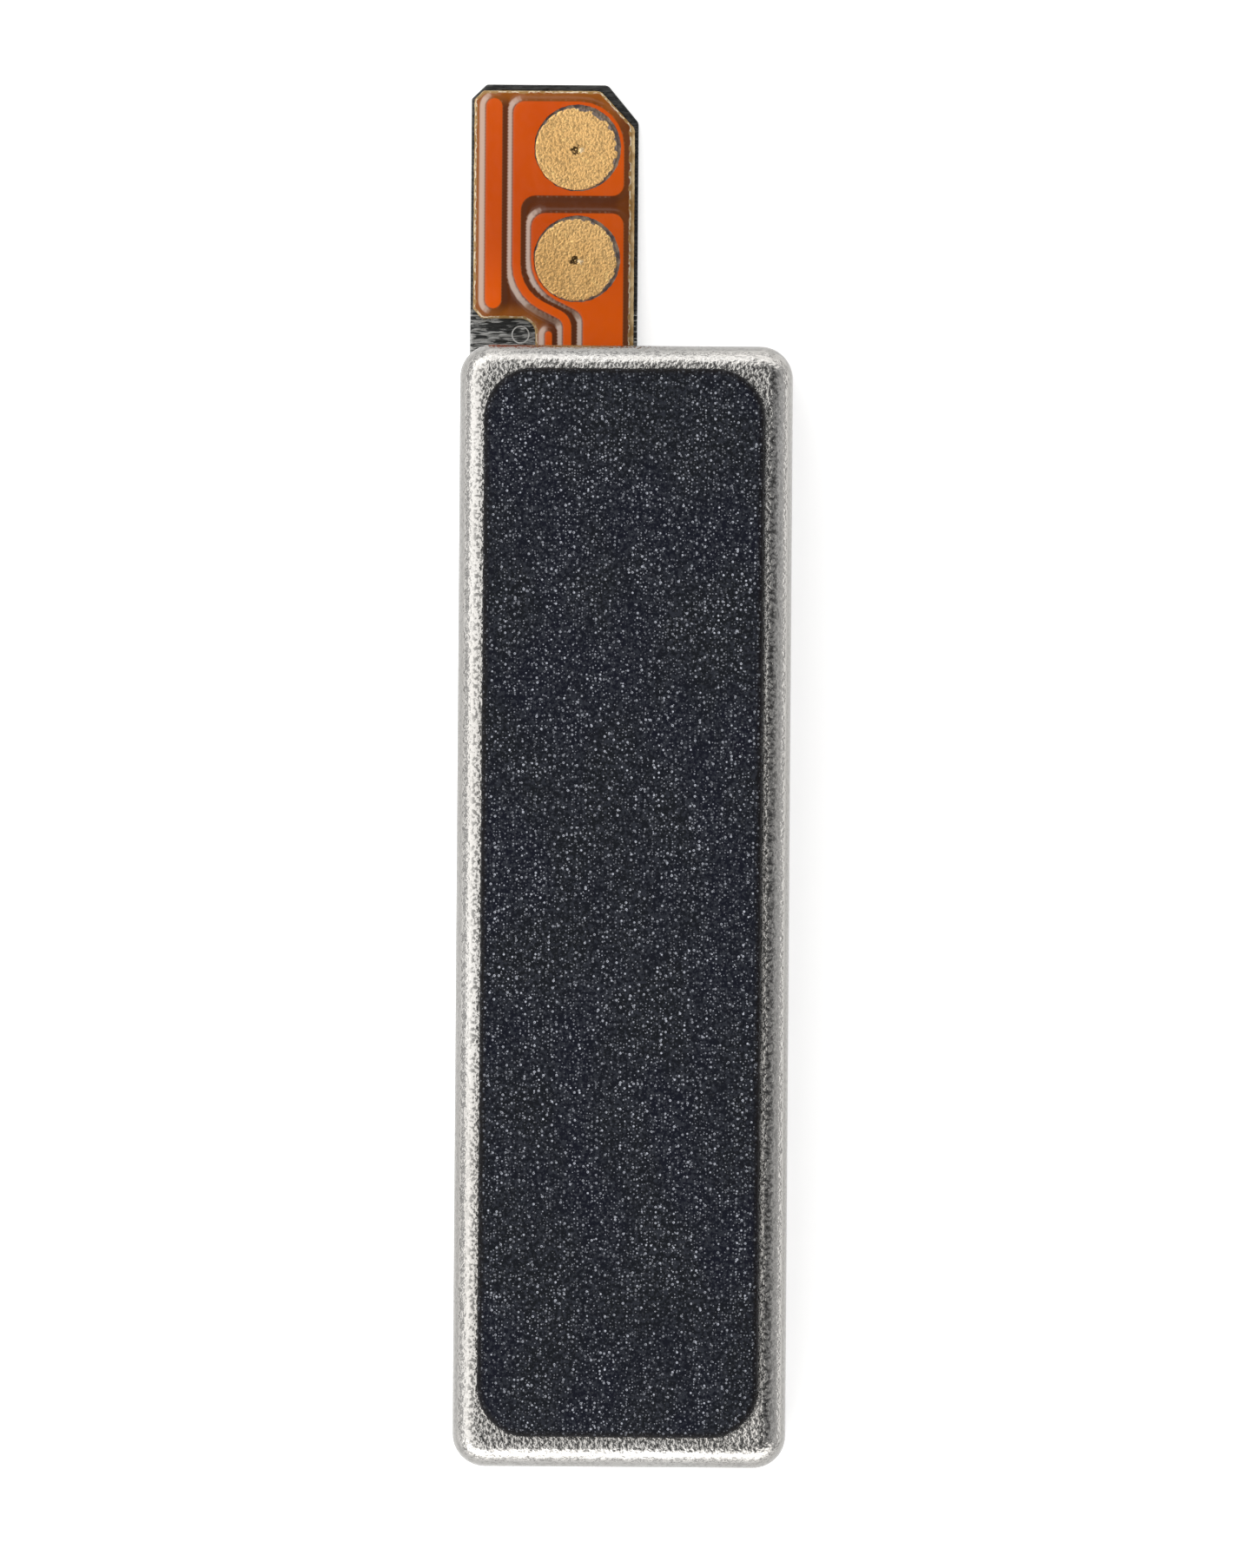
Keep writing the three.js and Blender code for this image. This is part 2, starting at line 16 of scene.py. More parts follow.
import bmesh
import bpy
import numpy as np
from mathutils import Matrix, Vector, geometry, kdtree, noise


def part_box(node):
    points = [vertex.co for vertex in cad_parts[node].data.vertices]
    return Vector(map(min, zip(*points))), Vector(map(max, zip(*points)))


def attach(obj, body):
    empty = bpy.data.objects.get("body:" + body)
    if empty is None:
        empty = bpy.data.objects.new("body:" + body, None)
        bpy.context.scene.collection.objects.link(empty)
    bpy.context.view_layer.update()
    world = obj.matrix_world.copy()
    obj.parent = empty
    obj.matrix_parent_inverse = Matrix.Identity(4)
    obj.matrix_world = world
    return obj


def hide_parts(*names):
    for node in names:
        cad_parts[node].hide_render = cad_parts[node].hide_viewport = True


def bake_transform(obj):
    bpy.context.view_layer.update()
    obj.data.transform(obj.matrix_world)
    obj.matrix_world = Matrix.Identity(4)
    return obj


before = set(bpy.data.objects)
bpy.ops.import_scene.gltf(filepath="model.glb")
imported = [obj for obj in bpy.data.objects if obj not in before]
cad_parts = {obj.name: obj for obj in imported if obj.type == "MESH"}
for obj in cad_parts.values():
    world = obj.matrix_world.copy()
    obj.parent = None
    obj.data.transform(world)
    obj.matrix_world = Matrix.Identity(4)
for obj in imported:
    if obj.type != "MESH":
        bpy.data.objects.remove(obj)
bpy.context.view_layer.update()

MM = 0.001


# %% [markdown]
# ## The camera
#
# The motor is seen from straight above. A short lens would show the case's walls and make the tab, which
# lies 2.6 mm lower than the lid, look smaller than it is. A very long lens from far away keeps every height
# at nearly the same scale, as a measuring microscope does. A camera with no perspective at all would do
# that too, but the long lens keeps a trace of depth when the same camera is swung round to the side.

# %% The camera
LENS = 1000
SENSOR = 36
FRAME_HEIGHT = 21.66  # millimetres of the scene from the frame's lower edge to its upper one
TARGET = Vector((0.055, 1.69, 3.0))
LEAN_RIGHT = math.radians(0.1)
LEAN_BACK = math.radians(0.3)
ROLL = math.radians(0.42)

camera_data = bpy.data.cameras.new("overhead camera")
camera_data.lens = LENS
camera_data.sensor_width = SENSOR
camera = bpy.data.objects.new("overhead_camera", camera_data)
bpy.context.scene.collection.objects.link(camera)
bpy.context.scene.camera = camera

away = Vector((math.tan(LEAN_RIGHT), -math.tan(LEAN_BACK), 1)).normalized()
camera.location = (TARGET + away * LENS / SENSOR * FRAME_HEIGHT) * MM
right = Vector((0, 1, 0)).cross(away).normalized()
aimed = Matrix((right, away.cross(right), away)).transposed()
camera.rotation_euler = (aimed @ Matrix.Rotation(ROLL, 3, "Z")).to_euler()
camera_data.clip_start = 0.01
camera_data.clip_end = 10
print("camera height, mm:", round(camera.location.z / MM))


# %% [markdown]
# ## Floor and lights
#
# Steel shows what it reflects, so the lights are placed for the reflections on the case's rounded edge. A
# broad panel on the left gives the bright band down that side. Panels beyond the two ends do the same
# there. The right side has no panel and reflects the pale horizon, which leaves that edge an even grey. The
# air is pale at the horizon and dark overhead, so the flat of the lid stays darker than its edge. Each
# panel is an area light, because a point light would give hard dots on metal.
#
# The floor is a plain pale sheet, wide enough for low views from the side. It lies a hundredth of a
# millimetre under the base plate, because two faces in one plane would shade each other in stripes.

# %% Light panels
PANEL_DISTANCE = 0.14
WARM = (1.0, 0.985, 0.965)


def panel(name, direction, size, radiance):
    """A soft light panel that faces the motor. Its size is its width, then its height."""
    data = bpy.data.lights.new(name, "AREA")
    data.shape = "RECTANGLE"
    data.size, data.size_y = size
    data.energy = radiance * math.pi * size[0] * size[1]
    data.color = WARM
    light = bpy.data.objects.new(name, data)
    away = Vector(direction).normalized()
    light.location = away * PANEL_DISTANCE
    light.rotation_euler = away.to_track_quat("Z", "Y").to_euler()
    light.visible_camera = False
    bpy.context.scene.collection.objects.link(light)


panel("left_panel", (-0.545, 0, 0.838), (0.34, 0.168), 1.2)
panel("tab_end_panel", (0, 0.866, 0.5), (0.30, 0.08), 1.1)
panel("far_end_panel", (0, -0.84, 0.545), (0.30, 0.095), 1.8)

# %% The air round the motor
HORIZON = (0.54, 0.54, 0.545, 1)
ZENITH = (0.11, 0.112, 0.116, 1)
world = bpy.data.worlds.new("studio air")
world.use_nodes = True
air = world.node_tree
direction = air.nodes.new("ShaderNodeTexCoord").outputs["Generated"]
upward = air.nodes.new("ShaderNodeSeparateXYZ")
air.links.new(direction, upward.inputs[0])
fade = air.nodes.new("ShaderNodeValToRGB")
for stop, (height, shade) in zip(fade.color_ramp.elements, [(0.55, HORIZON), (0.97, ZENITH)]):
    stop.position = height
    stop.color = shade
air.links.new(upward.outputs["Z"], fade.inputs[0])
air.links.new(fade.outputs["Color"], air.nodes["Background"].inputs["Color"])
bpy.context.scene.world = world
bpy.context.scene.view_settings.view_transform = "Standard"
print("air fades from", HORIZON[0], "at the horizon to", ZENITH[0], "overhead")

# %% The floor
FLOOR_SIZE = 1.2
FLOOR_DROP = 0.01  # millimetres
floor_mesh = bpy.data.meshes.new("floor")
floor_corners = [(x * FLOOR_SIZE / 2, y * FLOOR_SIZE / 2, 0) for x, y in [(-1, -1), (1, -1), (1, 1), (-1, 1)]]
floor_mesh.from_pydata(floor_corners, [], [(0, 1, 2, 3)])
floor = bpy.data.objects.new("floor", floor_mesh)
floor.location.z = -FLOOR_DROP * MM
bpy.context.scene.collection.objects.link(floor)
print("floor:", FLOOR_SIZE, "m square")


# %% [markdown]
# ## Helpers for outlines
#
# The frame already knows the outline of every layer. Reading it back from the node's own flat top keeps the
# finished skin on the design, with no second list of corners to fall out of step. A triangle's edge that no
# neighbour shares lies on the boundary, and following such edges gives closed loops: anticlockwise round
# the outside, clockwise round each hole.

# %% Outlines from the frame
def flat_loops(name):
    """The closed outlines of a node's flat top face, in millimetres, largest first."""
    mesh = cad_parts[name].data
    where = [tuple(round(c / MM, 4) for c in v.co) for v in mesh.vertices]
    top = max(p[2] for p in where)
    edges = set()
    for face in mesh.polygons:
        corners = [where[i] for i in face.vertices]
        if min(p[2] for p in corners) < top - 1e-4:
            continue
        for a, b in zip(corners, corners[1:] + corners[:1]):
            if (b, a) in edges:
                edges.remove((b, a))
            elif a != b:
                edges.add((a, b))
    following = dict(edges)
    loops = []
    while following:
        start, point = following.popitem()
        loop = [start]
        while point != start:
            loop.append(point)
            point = following.pop(point)
        loops.append(np.array(loop)[:, :2])
    return sorted(loops, key=lambda loop: -abs(area(loop)))


def area(loop):
    """The area inside a loop: above 0 if it runs anticlockwise."""
    after = np.roll(loop, -1, 0)
    return (loop[:, 0] * after[:, 1] - loop[:, 1] * after[:, 0]).sum() / 2


def resampled(loop, step):
    """The loop with points added so that none are further apart than step."""
    points = []
    for a, b in zip(loop, np.roll(loop, -1, 0)):
        parts = max(1, math.ceil(np.linalg.norm(b - a) / step))
        points.extend(a + (b - a) * k / parts for k in range(parts))
    return np.array(points)


def inset(loop, by):
    """The loop moved into the material: inwards on an outer loop, outwards round a hole."""
    by = np.asarray(by, float).reshape(-1, 1)
    back = loop - np.roll(loop, 1, 0)
    on = np.roll(loop, -1, 0) - loop
    back /= np.linalg.norm(back, axis=1, keepdims=True)
    on /= np.linalg.norm(on, axis=1, keepdims=True)
    normal = np.stack([-(back + on)[:, 1], (back + on)[:, 0]], 1)
    return loop + normal * by / (1 + (back * on).sum(1, keepdims=True))


def at_height(points, z):
    """Flat points lifted to one height, or each to its own."""
    return np.column_stack([points, np.broadcast_to(z, len(points))])


# %% Distances from an outline
def nearest(points, loops, step):
    """For each point, the nearest of the points spaced by step along the loops, and how far off it is."""
    marks = np.concatenate([resampled(loop, step) for loop in loops])
    tree = kdtree.KDTree(len(marks))
    for index, mark in enumerate(at_height(marks, 0)):
        tree.insert(mark, index)
    tree.balance()
    found = [tree.find(point) for point in at_height(points, 0)]
    return np.array([place[:2] for place, _, _ in found]), np.array([gap for _, _, gap in found])


def distance(points, loops):
    """How far each point lies from the nearest line of the loops."""
    return nearest(points, loops, 0.004)[1]


def leftness(points, loops):
    """1 where the nearest line of the loops lies to the right of the point, 0 where it lies to the left."""
    way = nearest(points, loops, 0.01)[0] - points
    way /= np.maximum(np.linalg.norm(way, axis=1, keepdims=True), 1e-6)
    return np.clip(way[:, 0] / 0.6 - 0.3, 0, 1)


def inside(points, loops):
    """Which points lie in the material, by counting the lines to the right of each."""
    crossings = np.zeros(len(points), int)
    for loop in loops:
        for a, b in zip(loop, np.roll(loop, -1, 0)):
            if a[1] == b[1]:
                continue
            level = (a[1] > points[:, 1]) != (b[1] > points[:, 1])
            crossing = a[0] + (points[:, 1] - a[1]) * (b[0] - a[0]) / (b[1] - a[1])
            crossings += level & (points[:, 0] < crossing)
    return crossings % 2 == 1


# %% Outlines made from numbers
def rounded_rectangle(middle, width, length, radius, arc_steps=16):
    """An anticlockwise outline with round corners, starting at the lower left."""
    x, y = width / 2 - radius, length / 2 - radius
    points = []
    for quarter, (cx, cy) in enumerate([(-x, -y), (x, -y), (x, y), (-x, y)]):
        for k in range(arc_steps + 1):
            a = math.pi * (1 + quarter / 2) + math.pi / 2 * k / arc_steps
            points.append((middle[0] + cx + radius * math.cos(a), middle[1] + cy + radius * math.sin(a)))
    return np.array(points)


def circle(middle, radius, steps):
    """An anticlockwise outline of evenly spaced points on a circle."""
    turn = np.linspace(0, 2 * math.pi, steps, endpoint=False)
    return np.column_stack([middle[0] + radius * np.cos(turn), middle[1] + radius * np.sin(turn)])


def box_mm(name):
    """A CAD node's lowest and highest corners, in millimetres."""
    low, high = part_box(name)
    return np.array(low) / MM, np.array(high) / MM


cover_loops = flat_loops("flex_coverlay")
print("the cover film has", len(cover_loops) - 1, "windows")


# %% [markdown]
# ## Helpers for meshes
#
# Three ways of making a mesh cover every piece here.
#
# A *loft* joins rings of points and suits the can, whose wall, rounded edge and lid are one outline at many
# heights. A *slab* is a loft whose edges are eased by a small radius: no sheared or moulded piece has a
# perfectly sharp edge, and the eased edge is what catches the light. A *skin* fills an outline with a fine
# net of triangles and lifts each point by a height function, which suits the cover film as it drapes over
# copper.

# %% Pieces
SHARP_ANGLE = math.radians(40)


def make_piece(name, points, faces, material, body, values=None):
    """A closed mesh from points in millimetres, shaded smooth but for its sharp edges, riding on a body.

    values holds numbers for each point, which the material reads by name."""
    mesh = bpy.data.meshes.new(name)
    mesh.from_pydata((np.asarray(points) * MM).tolist(), [], faces)
    work = bmesh.new()
    work.from_mesh(mesh)
    bmesh.ops.recalc_face_normals(work, faces=work.faces)
    work.to_mesh(mesh)
    work.free()
    mesh.shade_smooth()
    mesh.set_sharp_from_angle(angle=SHARP_ANGLE)
    for key, numbers in (values or {}).items():
        attribute = mesh.attributes.new(key, "FLOAT", "POINT")
        attribute.data.foreach_set("value", np.asarray(numbers, np.float32))
    mesh.materials.append(material)
    piece = bpy.data.objects.new(name, mesh)
    bpy.context.scene.collection.objects.link(piece)
    if body:
        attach(piece, body)
    return piece


# %% Lofts and slabs
def loft_faces(rings, count, closed=False):
    """Quads between rings of count points each. The last ring joins the first, or a face caps each end."""
    faces = []
    for r in range(rings if closed else rings - 1):
        s = (r + 1) % rings
        for i in range(count):
            j = (i + 1) % count
            faces.append((r * count + i, r * count + j, s * count + j, s * count + i))
    if not closed:
        faces.append(tuple(range(count))[::-1])
        faces.append(tuple((rings - 1) * count + i for i in range(count)))
    return faces


def slab(name, loop, bottom, top, ease, material, steps=4, body="case"):
    """A plate with eased edges. A flat ring inside each edge keeps the shading of the face flat."""
    turns = [math.pi / 2 * k / steps for k in range(steps + 1)]
    profile = [(2 * ease, bottom)]
    profile += [(ease * (1 - math.sin(a)), bottom + ease * (1 - math.cos(a))) for a in turns]
    profile += [(ease * (1 - math.cos(a)), top - ease * (1 - math.sin(a))) for a in turns]
    profile += [(2 * ease, top)]
    rings = [at_height(inset(loop, by), z) for by, z in profile]
    faces = loft_faces(len(rings), len(loop))
    return make_piece(name, np.concatenate(rings), faces, material, body)


# %% Nets and skins
def net(loops, step, rings=()):
    """Points and triangles that fill the loops: the loops' own points, then inset rings, then a grid."""
    edges, start = [], 0
    for loop in loops:
        edges += [(start + i, start + (i + 1) % len(loop)) for i in range(len(loop))]
        start += len(loop)
    points = [np.concatenate(loops)]
    points += [inset(loop, by) for by in rings for loop in loops]
    low, high = points[0].min(0), points[0].max(0)
    if step:
        rows = np.arange(low[1], high[1], step * 0.866)
        columns = np.arange(low[0], high[0], step)
        grid = np.array([(x + step / 2 * (r % 2), y) for r, y in enumerate(rows) for x in columns])
        clear = max(rings, default=0) + 0.5 * step
        points.append(grid[inside(grid, loops) & (distance(grid, loops) > clear)])
    points = np.concatenate(points)
    found = geometry.delaunay_2d_cdt([Vector(p) for p in points], edges, [], 0, 1e-7)
    placed = np.array([tuple(v) for v in found[0]])
    triangles = np.array(found[2])
    kept = triangles[inside(placed[triangles].mean(1), loops)]
    if len(placed) != len(points):
        raise ValueError("two points of the net fell together")
    return placed, kept


def skin(name, loops, height, bottom, material, step=0, rings=(), values=None):
    """A closed film on the case: its top follows height(points), and its underside is flat."""
    top_points, top_faces = net(loops, step, rings)
    low_points, low_faces = net(loops, 0)
    count = len(top_points)
    points = np.concatenate([at_height(top_points, height(top_points)), at_height(low_points, bottom)])
    faces = [tuple(t) for t in top_faces.tolist()]
    faces += [tuple(t) for t in (low_faces[:, ::-1] + count).tolist()]
    start = 0
    for loop in loops:
        for i in range(len(loop)):
            a, b = start + i, start + (i + 1) % len(loop)
            faces.append((a, a + count, b + count, b))
        start += len(loop)
    flat = points[:, :2]
    numbers = {key: value(flat) for key, value in (values or {}).items()}
    print(f"{name}: {len(points)} points, {len(faces)} faces")
    return make_piece(name, points, faces, material, "case", numbers)


def rough(points, size, seed=0):
    """Smooth random numbers from -1 to 1 that change over about size millimetres."""
    return np.array([noise.noise(Vector((p[0] / size, p[1] / size, seed))) for p in points])


# %% [markdown]
# ## Helpers for materials
#
# Every finish is worked out in the piece's own coordinates, in millimetres, so a grain has its real size
# and stays put when the piece moves. Four effects are used again and again, and each is a node group:
#
# - **Grain** is the fine tooth of etched, rolled, sintered or plated metal. Stretched, it becomes brushing.
# - **Cells** are the bubbles of a foam, cut open at its surface.
# - **Patches** are slow changes of tone, as from handling or uneven heat.
# - **Edge rub** finds the convex edges and paints them brighter, as wear and as a painted highlight.
#
# The groups put out only heights, masks and numbers. The shader itself stays in each material.

# %% Material helpers
def node(tree, kind, settings=None, **inputs):
    """A node with its settings and inputs. An input is a number, a colour or another node's output."""
    made = tree.nodes.new(kind)
    for key, value in (settings or {}).items():
        setattr(made, key, value)
    for key, value in inputs.items():
        feed(tree, made.inputs[key.replace("_", " ")], value)
    return made


def feed(tree, socket, value):
    """Gives a socket its value: a link if it comes from another node, a plain setting if not."""
    if isinstance(value, bpy.types.NodeSocket):
        tree.links.new(value, socket)
    else:
        socket.default_value = value


def maths(tree, operation, *values):
    """The result of one sum on numbers or on other nodes' outputs."""
    made = node(tree, "ShaderNodeMath", {"operation": operation})
    for socket, value in zip(made.inputs, values):
        feed(tree, socket, value)
    return made.outputs[0]


def between(tree, value, low, high, out_low=0.0, out_high=1.0):
    """The value carried smoothly from one range to another and held at its ends."""
    made = node(tree, "ShaderNodeMapRange", {"interpolation_type": "SMOOTHSTEP"}, Value=value)
    made.inputs["From Min"].default_value = low
    made.inputs["From Max"].default_value = high
    made.inputs["To Min"].default_value = out_low
    made.inputs["To Max"].default_value = out_high
    return made.outputs["Result"]


def blended(tree, share, a, b):
    """Colour a where share is 0 and colour b where it is 1."""
    made = node(tree, "ShaderNodeMix", {"data_type": "RGBA"})
    feed(tree, made.inputs[0], share)
    feed(tree, made.inputs[6], a)
    feed(tree, made.inputs[7], b)
    return made.outputs[2]


def shaded(tree, share, colour):
    """The colour dimmed to a share of itself."""
    grey = node(tree, "ShaderNodeCombineColor", Red=share, Green=share, Blue=share).outputs[0]
    made = node(tree, "ShaderNodeMix", {"data_type": "RGBA", "blend_type": "MULTIPLY"})
    made.inputs[0].default_value = 1.0
    feed(tree, made.inputs[6], colour)
    feed(tree, made.inputs[7], grey)
    return made.outputs[2]


# %% Group and coordinate helpers
def new_group(name, inputs, outputs):
    """An empty node group with named number inputs and outputs."""
    tree = bpy.data.node_groups.new(name, "ShaderNodeTree")
    for key, value in inputs.items():
        kind = "NodeSocketVector" if isinstance(value, tuple) else "NodeSocketFloat"
        tree.interface.new_socket(key, in_out="INPUT", socket_type=kind).default_value = value
    for key in outputs:
        tree.interface.new_socket(key, in_out="OUTPUT", socket_type="NodeSocketFloat")
    return tree, tree.nodes.new("NodeGroupInput").outputs, tree.nodes.new("NodeGroupOutput").inputs


def millimetres(tree, stretch=None):
    """The shaded point in the piece's own coordinates, in millimetres, and then stretched."""
    place = node(tree, "ShaderNodeTexCoord").outputs["Object"]
    for factor in ((1 / MM,) * 3, stretch):
        if factor is not None:
            scaled = node(tree, "ShaderNodeVectorMath", {"operation": "MULTIPLY"})
            feed(tree, scaled.inputs[0], place)
            feed(tree, scaled.inputs[1], factor)
            place = scaled.outputs[0]
    return place


def millimetre_axes(tree):
    """The same point as three numbers, by the names X, Y and Z."""
    return node(tree, "ShaderNodeSeparateXYZ", Vector=millimetres(tree)).outputs


def stored(tree, name):
    """A number that the mesh keeps for each of its points."""
    return node(tree, "ShaderNodeAttribute", {"attribute_name": name}).outputs["Fac"]


# %% The grain group
grain_group, g_in, g_out = new_group("Grain", {"Per Millimetre": (14.0, 14.0, 14.0)}, ["Height"])
grain_place = millimetres(grain_group, g_in["Per Millimetre"])
fine = node(grain_group, "ShaderNodeTexNoise", Vector=grain_place, Scale=1.0, Detail=1.5, Roughness=0.6)
feed(grain_group, g_out["Height"], fine.outputs["Fac"])
print("grain group:", len(grain_group.nodes), "nodes")

# %% The cells group
cell_outputs = ["Height", "Ring", "Chance"]
cells_group, c_in, c_out = new_group("Cells", {"Per Millimetre": (11.0, 11.0, 11.0)}, cell_outputs)
cell = node(
    cells_group,
    "ShaderNodeTexVoronoi",
    {"voronoi_dimensions": "3D", "feature": "F1"},
    Vector=millimetres(cells_group, c_in["Per Millimetre"]),
    Scale=1.0,
    Randomness=0.85,
)
cell_size = cell.outputs["Distance"]
pit = between(cells_group, cell_size, 0.1, 0.34)
rim_rise = between(cells_group, cell_size, 0.06, 0.17)
rim_fall = between(cells_group, cell_size, 0.19, 0.33, 1.0, 0.0)
chance = node(cells_group, "ShaderNodeSeparateColor", Color=cell.outputs["Color"]).outputs["Red"]
feed(cells_group, c_out["Height"], pit)
feed(cells_group, c_out["Ring"], maths(cells_group, "MULTIPLY", rim_rise, rim_fall))
feed(cells_group, c_out["Chance"], chance)
print("cells group:", len(cells_group.nodes), "nodes")

# %% The patches group
patches_group, p_in, p_out = new_group("Patches", {"Per Millimetre": (0.8, 0.8, 0.8)}, ["Tone"])
slow = node(
    patches_group,
    "ShaderNodeTexNoise",
    Vector=millimetres(patches_group, p_in["Per Millimetre"]),
    Scale=1.0,
    Detail=2.0,
)
feed(patches_group, p_out["Tone"], between(patches_group, slow.outputs["Fac"], 0.35, 0.65))
print("patches group:", len(patches_group.nodes), "nodes")

# %% The edge rub group
rub_and_painted_sheen_group, r_in, r_out = new_group("Edge rub and painted highlight", {"Least": 0.52, "Most": 0.6}, ["Mask"])
pointed = node(rub_and_painted_sheen_group, "ShaderNodeNewGeometry").outputs["Pointiness"]
rub_and_painted_sheen = node(rub_and_painted_sheen_group, "ShaderNodeMapRange", Value=pointed)
feed(rub_and_painted_sheen_group, rub_and_painted_sheen.inputs["From Min"], r_in["Least"])
feed(rub_and_painted_sheen_group, rub_and_painted_sheen.inputs["From Max"], r_in["Most"])
feed(rub_and_painted_sheen_group, r_out["Mask"], rub_and_painted_sheen.outputs["Result"])
print("node groups:", [g.name for g in bpy.data.node_groups])


# %% [markdown]
# A finish then reads as a short recipe: a base colour that varies a little, a roughness, and a bump at most
# fifteen microns high, which is all the depth that a real grain has.

# %% Finishes
MICRON = 1e-6


def start_finish(name, metallic=0.0, roughness=0.5, **sockets):
    """A material with its shader. Numbers that are the same all over are set on the shader's own sockets."""
    material = bpy.data.materials.new(name)
    material.use_nodes = True
    tree = material.node_tree
    shader = tree.nodes["Principled BSDF"]
    shader.inputs["Metallic"].default_value = metallic
    shader.inputs["Roughness"].default_value = roughness
    for key, value in sockets.items():
        shader.inputs[key.replace("_", " ")].default_value = value
    return material, tree, shader


def use(tree, group, **inputs):
    """A shared effect, placed in a material with its own values."""
    made = node(tree, "ShaderNodeGroup", {"node_tree": group})
    for key, value in inputs.items():
        feed(tree, made.inputs[key.replace("_", " ")], value)
    return made.outputs


def bump(tree, shader, height, depth, strength=1.0):
    """Lights the surface as if height, from 0 to 1, stood depth microns high."""
    made = node(tree, "ShaderNodeBump", Height=height, Distance=depth * MICRON, Strength=strength)
    tree.links.new(made.outputs["Normal"], shader.inputs["Normal"])


def metal_finish(
    name, colour, tint, roughness, grain, depth, spread=0.08, pits=0.1, patches=(0.8,) * 3, rub_and_painted_sheen=False
):
    """Metal with a grain: colour varies towards tint in patches and darkens in the pits.

    grain and patches are per millimetre along x, y and z. The rub switch paints the convex edges brighter,
    as wear and as a painted highlight."""
    material, tree, shader = start_finish(name, metallic=1.0)
    tooth = use(tree, grain_group, Per_Millimetre=grain)
    tone = use(tree, patches_group, Per_Millimetre=patches)["Tone"]
    colour_now = blended(tree, tone, (*colour, 1), (*tint, 1))
    pitted = between(tree, tooth["Height"], 0.38, 0.56, pits, 0.0)
    colour_now = blended(tree, pitted, colour_now, (0.02, 0.019, 0.018, 1))
    # Painted highlight, and wear: the convex edges are painted brighter.
    if rub_and_painted_sheen:
        rub_and_painted_sheen_colour = [min(1.0, c * 1.25) for c in colour]
        colour_now = blended(tree, use(tree, rub_and_painted_sheen_group)["Mask"], colour_now, (*rub_and_painted_sheen_colour, 1))
    feed(tree, shader.inputs["Base Color"], colour_now)
    level = between(tree, tooth["Height"], 0.3, 0.7, roughness - spread, roughness + spread)
    feed(tree, shader.inputs["Roughness"], level)
    bump(tree, shader, tooth["Height"], depth)
    return material


def reopened(material):
    """A finish's nodes, its shader, and what feeds its base colour so far, ready for more on top."""
    tree = material.node_tree
    shader = tree.nodes["Principled BSDF"]
    return tree, shader, shader.inputs["Base Color"].links[0].from_socket


# %% [markdown]
# ## The floor's finish
#
# A sheet of pale card, with the faintest change of tone. It glows a little, as a light table does, which
# keeps the motor's shadow faint. It shows only from above, so the underside can be inspected through it.

# %% Floor finish
card, tree, shader = start_finish("pale card", roughness=0.9)
card_tone = use(tree, patches_group, Per_Millimetre=(0.05,) * 3)["Tone"]
card_colour = blended(tree, card_tone, (0.88, 0.88, 0.88, 1), (0.89, 0.89, 0.89, 1))
feed(tree, shader.inputs["Base Color"], card_colour)
shader.inputs["Emission Color"].default_value = (1, 1, 1, 1)
shader.inputs["Emission Strength"].default_value = 0.5
facing_down = node(tree, "ShaderNodeNewGeometry").outputs["Backfacing"]
feed(tree, shader.inputs["Alpha"], maths(tree, "SUBTRACT", 1.0, facing_down))
floor_mesh.materials.append(card)
print("floor finish:", card.name)


# %% [markdown]
# ## The can
#
# The can is drawn from stainless sheet in a press. Drawing rounds its upper edge, and the etched tool
# leaves a fine pebbled tooth all over it. It could be a cube with bevels, but the wall has to end in a slot
# where the flex goes in, and a boolean on parts this thin is fragile. Lofting the outline up the outside
# and down the inside gives a real sheet with an even thickness. The slot needs no cutting: where the wall
# passes over the flex, the lowest ring simply stops higher.
#
# The lid was etched a little deeper than the rest, so its flat holds more dark grit. The walls are painted
# darker, a painted shade, so that they don't glare where the pale floor lights them.

# %% The can's outline and rings
shell_low, shell_high = box_mm("case_shell")
SHEET = shell_low[2]  # the base plate's thickness, which is also the wall's
CORNER = 0.45  # the radius of its upright corners
EDGE = 0.32  # the radius of its rounded upper edge
INNER_EDGE = 0.12  # the same on the inside
BURR = 0.02  # how far its lower edge is eased
SLOT = {"left": -1.38, "right": 0.192, "top": 0.42, "corner": 0.07}  # clears the neck's sides and top
SLOT_LEAN = 0.006  # how far the slot's upright edges lean, since no two stations can share a place
CASE_WIDTH, CASE_LENGTH = (shell_high - shell_low)[:2]
QUARTER_TURN = [math.pi / 2 * k / 6 for k in range(7)]
FINE_QUARTER_TURN = [math.pi / 2 * k / 14 for k in range(15)]


def can_outline(by):
    """The case's outline moved inwards, with extra stations on the tab side where the slot's edges rise."""
    loop = rounded_rectangle((0, 0), CASE_WIDTH - 2 * by, CASE_LENGTH - 2 * by, CORNER - by, 14)
    tab_side = np.argmax(loop[:, 1] >= CASE_LENGTH / 2 - by - 1e-6)
    stations = []
    for a in QUARTER_TURN:
        stations.append(SLOT["right"] - SLOT_LEAN * (a > 0) - SLOT["corner"] * (1 - math.cos(a)))
    stations += [SLOT["left"] + SLOT["right"] - x for x in reversed(stations)]
    stations.insert(0, SLOT["right"] + SLOT_LEAN)
    stations.append(SLOT["left"] - SLOT_LEAN)
    extra = np.array([(x, CASE_LENGTH / 2 - by) for x in stations])
    return np.insert(loop, tab_side + 1, extra, axis=0), tab_side + 1


def rim_height(loop, first, above):
    """The lowest height of the wall: the slot's arch on the tab side, the rim elsewhere."""
    z = np.full(len(loop), SHEET + above)
    rise = np.array([SLOT["top"] - SLOT["corner"] * (1 - math.sin(a)) for a in QUARTER_TURN])
    z[first + 1 : first + 1 + 2 * len(rise)] = np.concatenate([rise, rise[::-1]]) + above
    return z


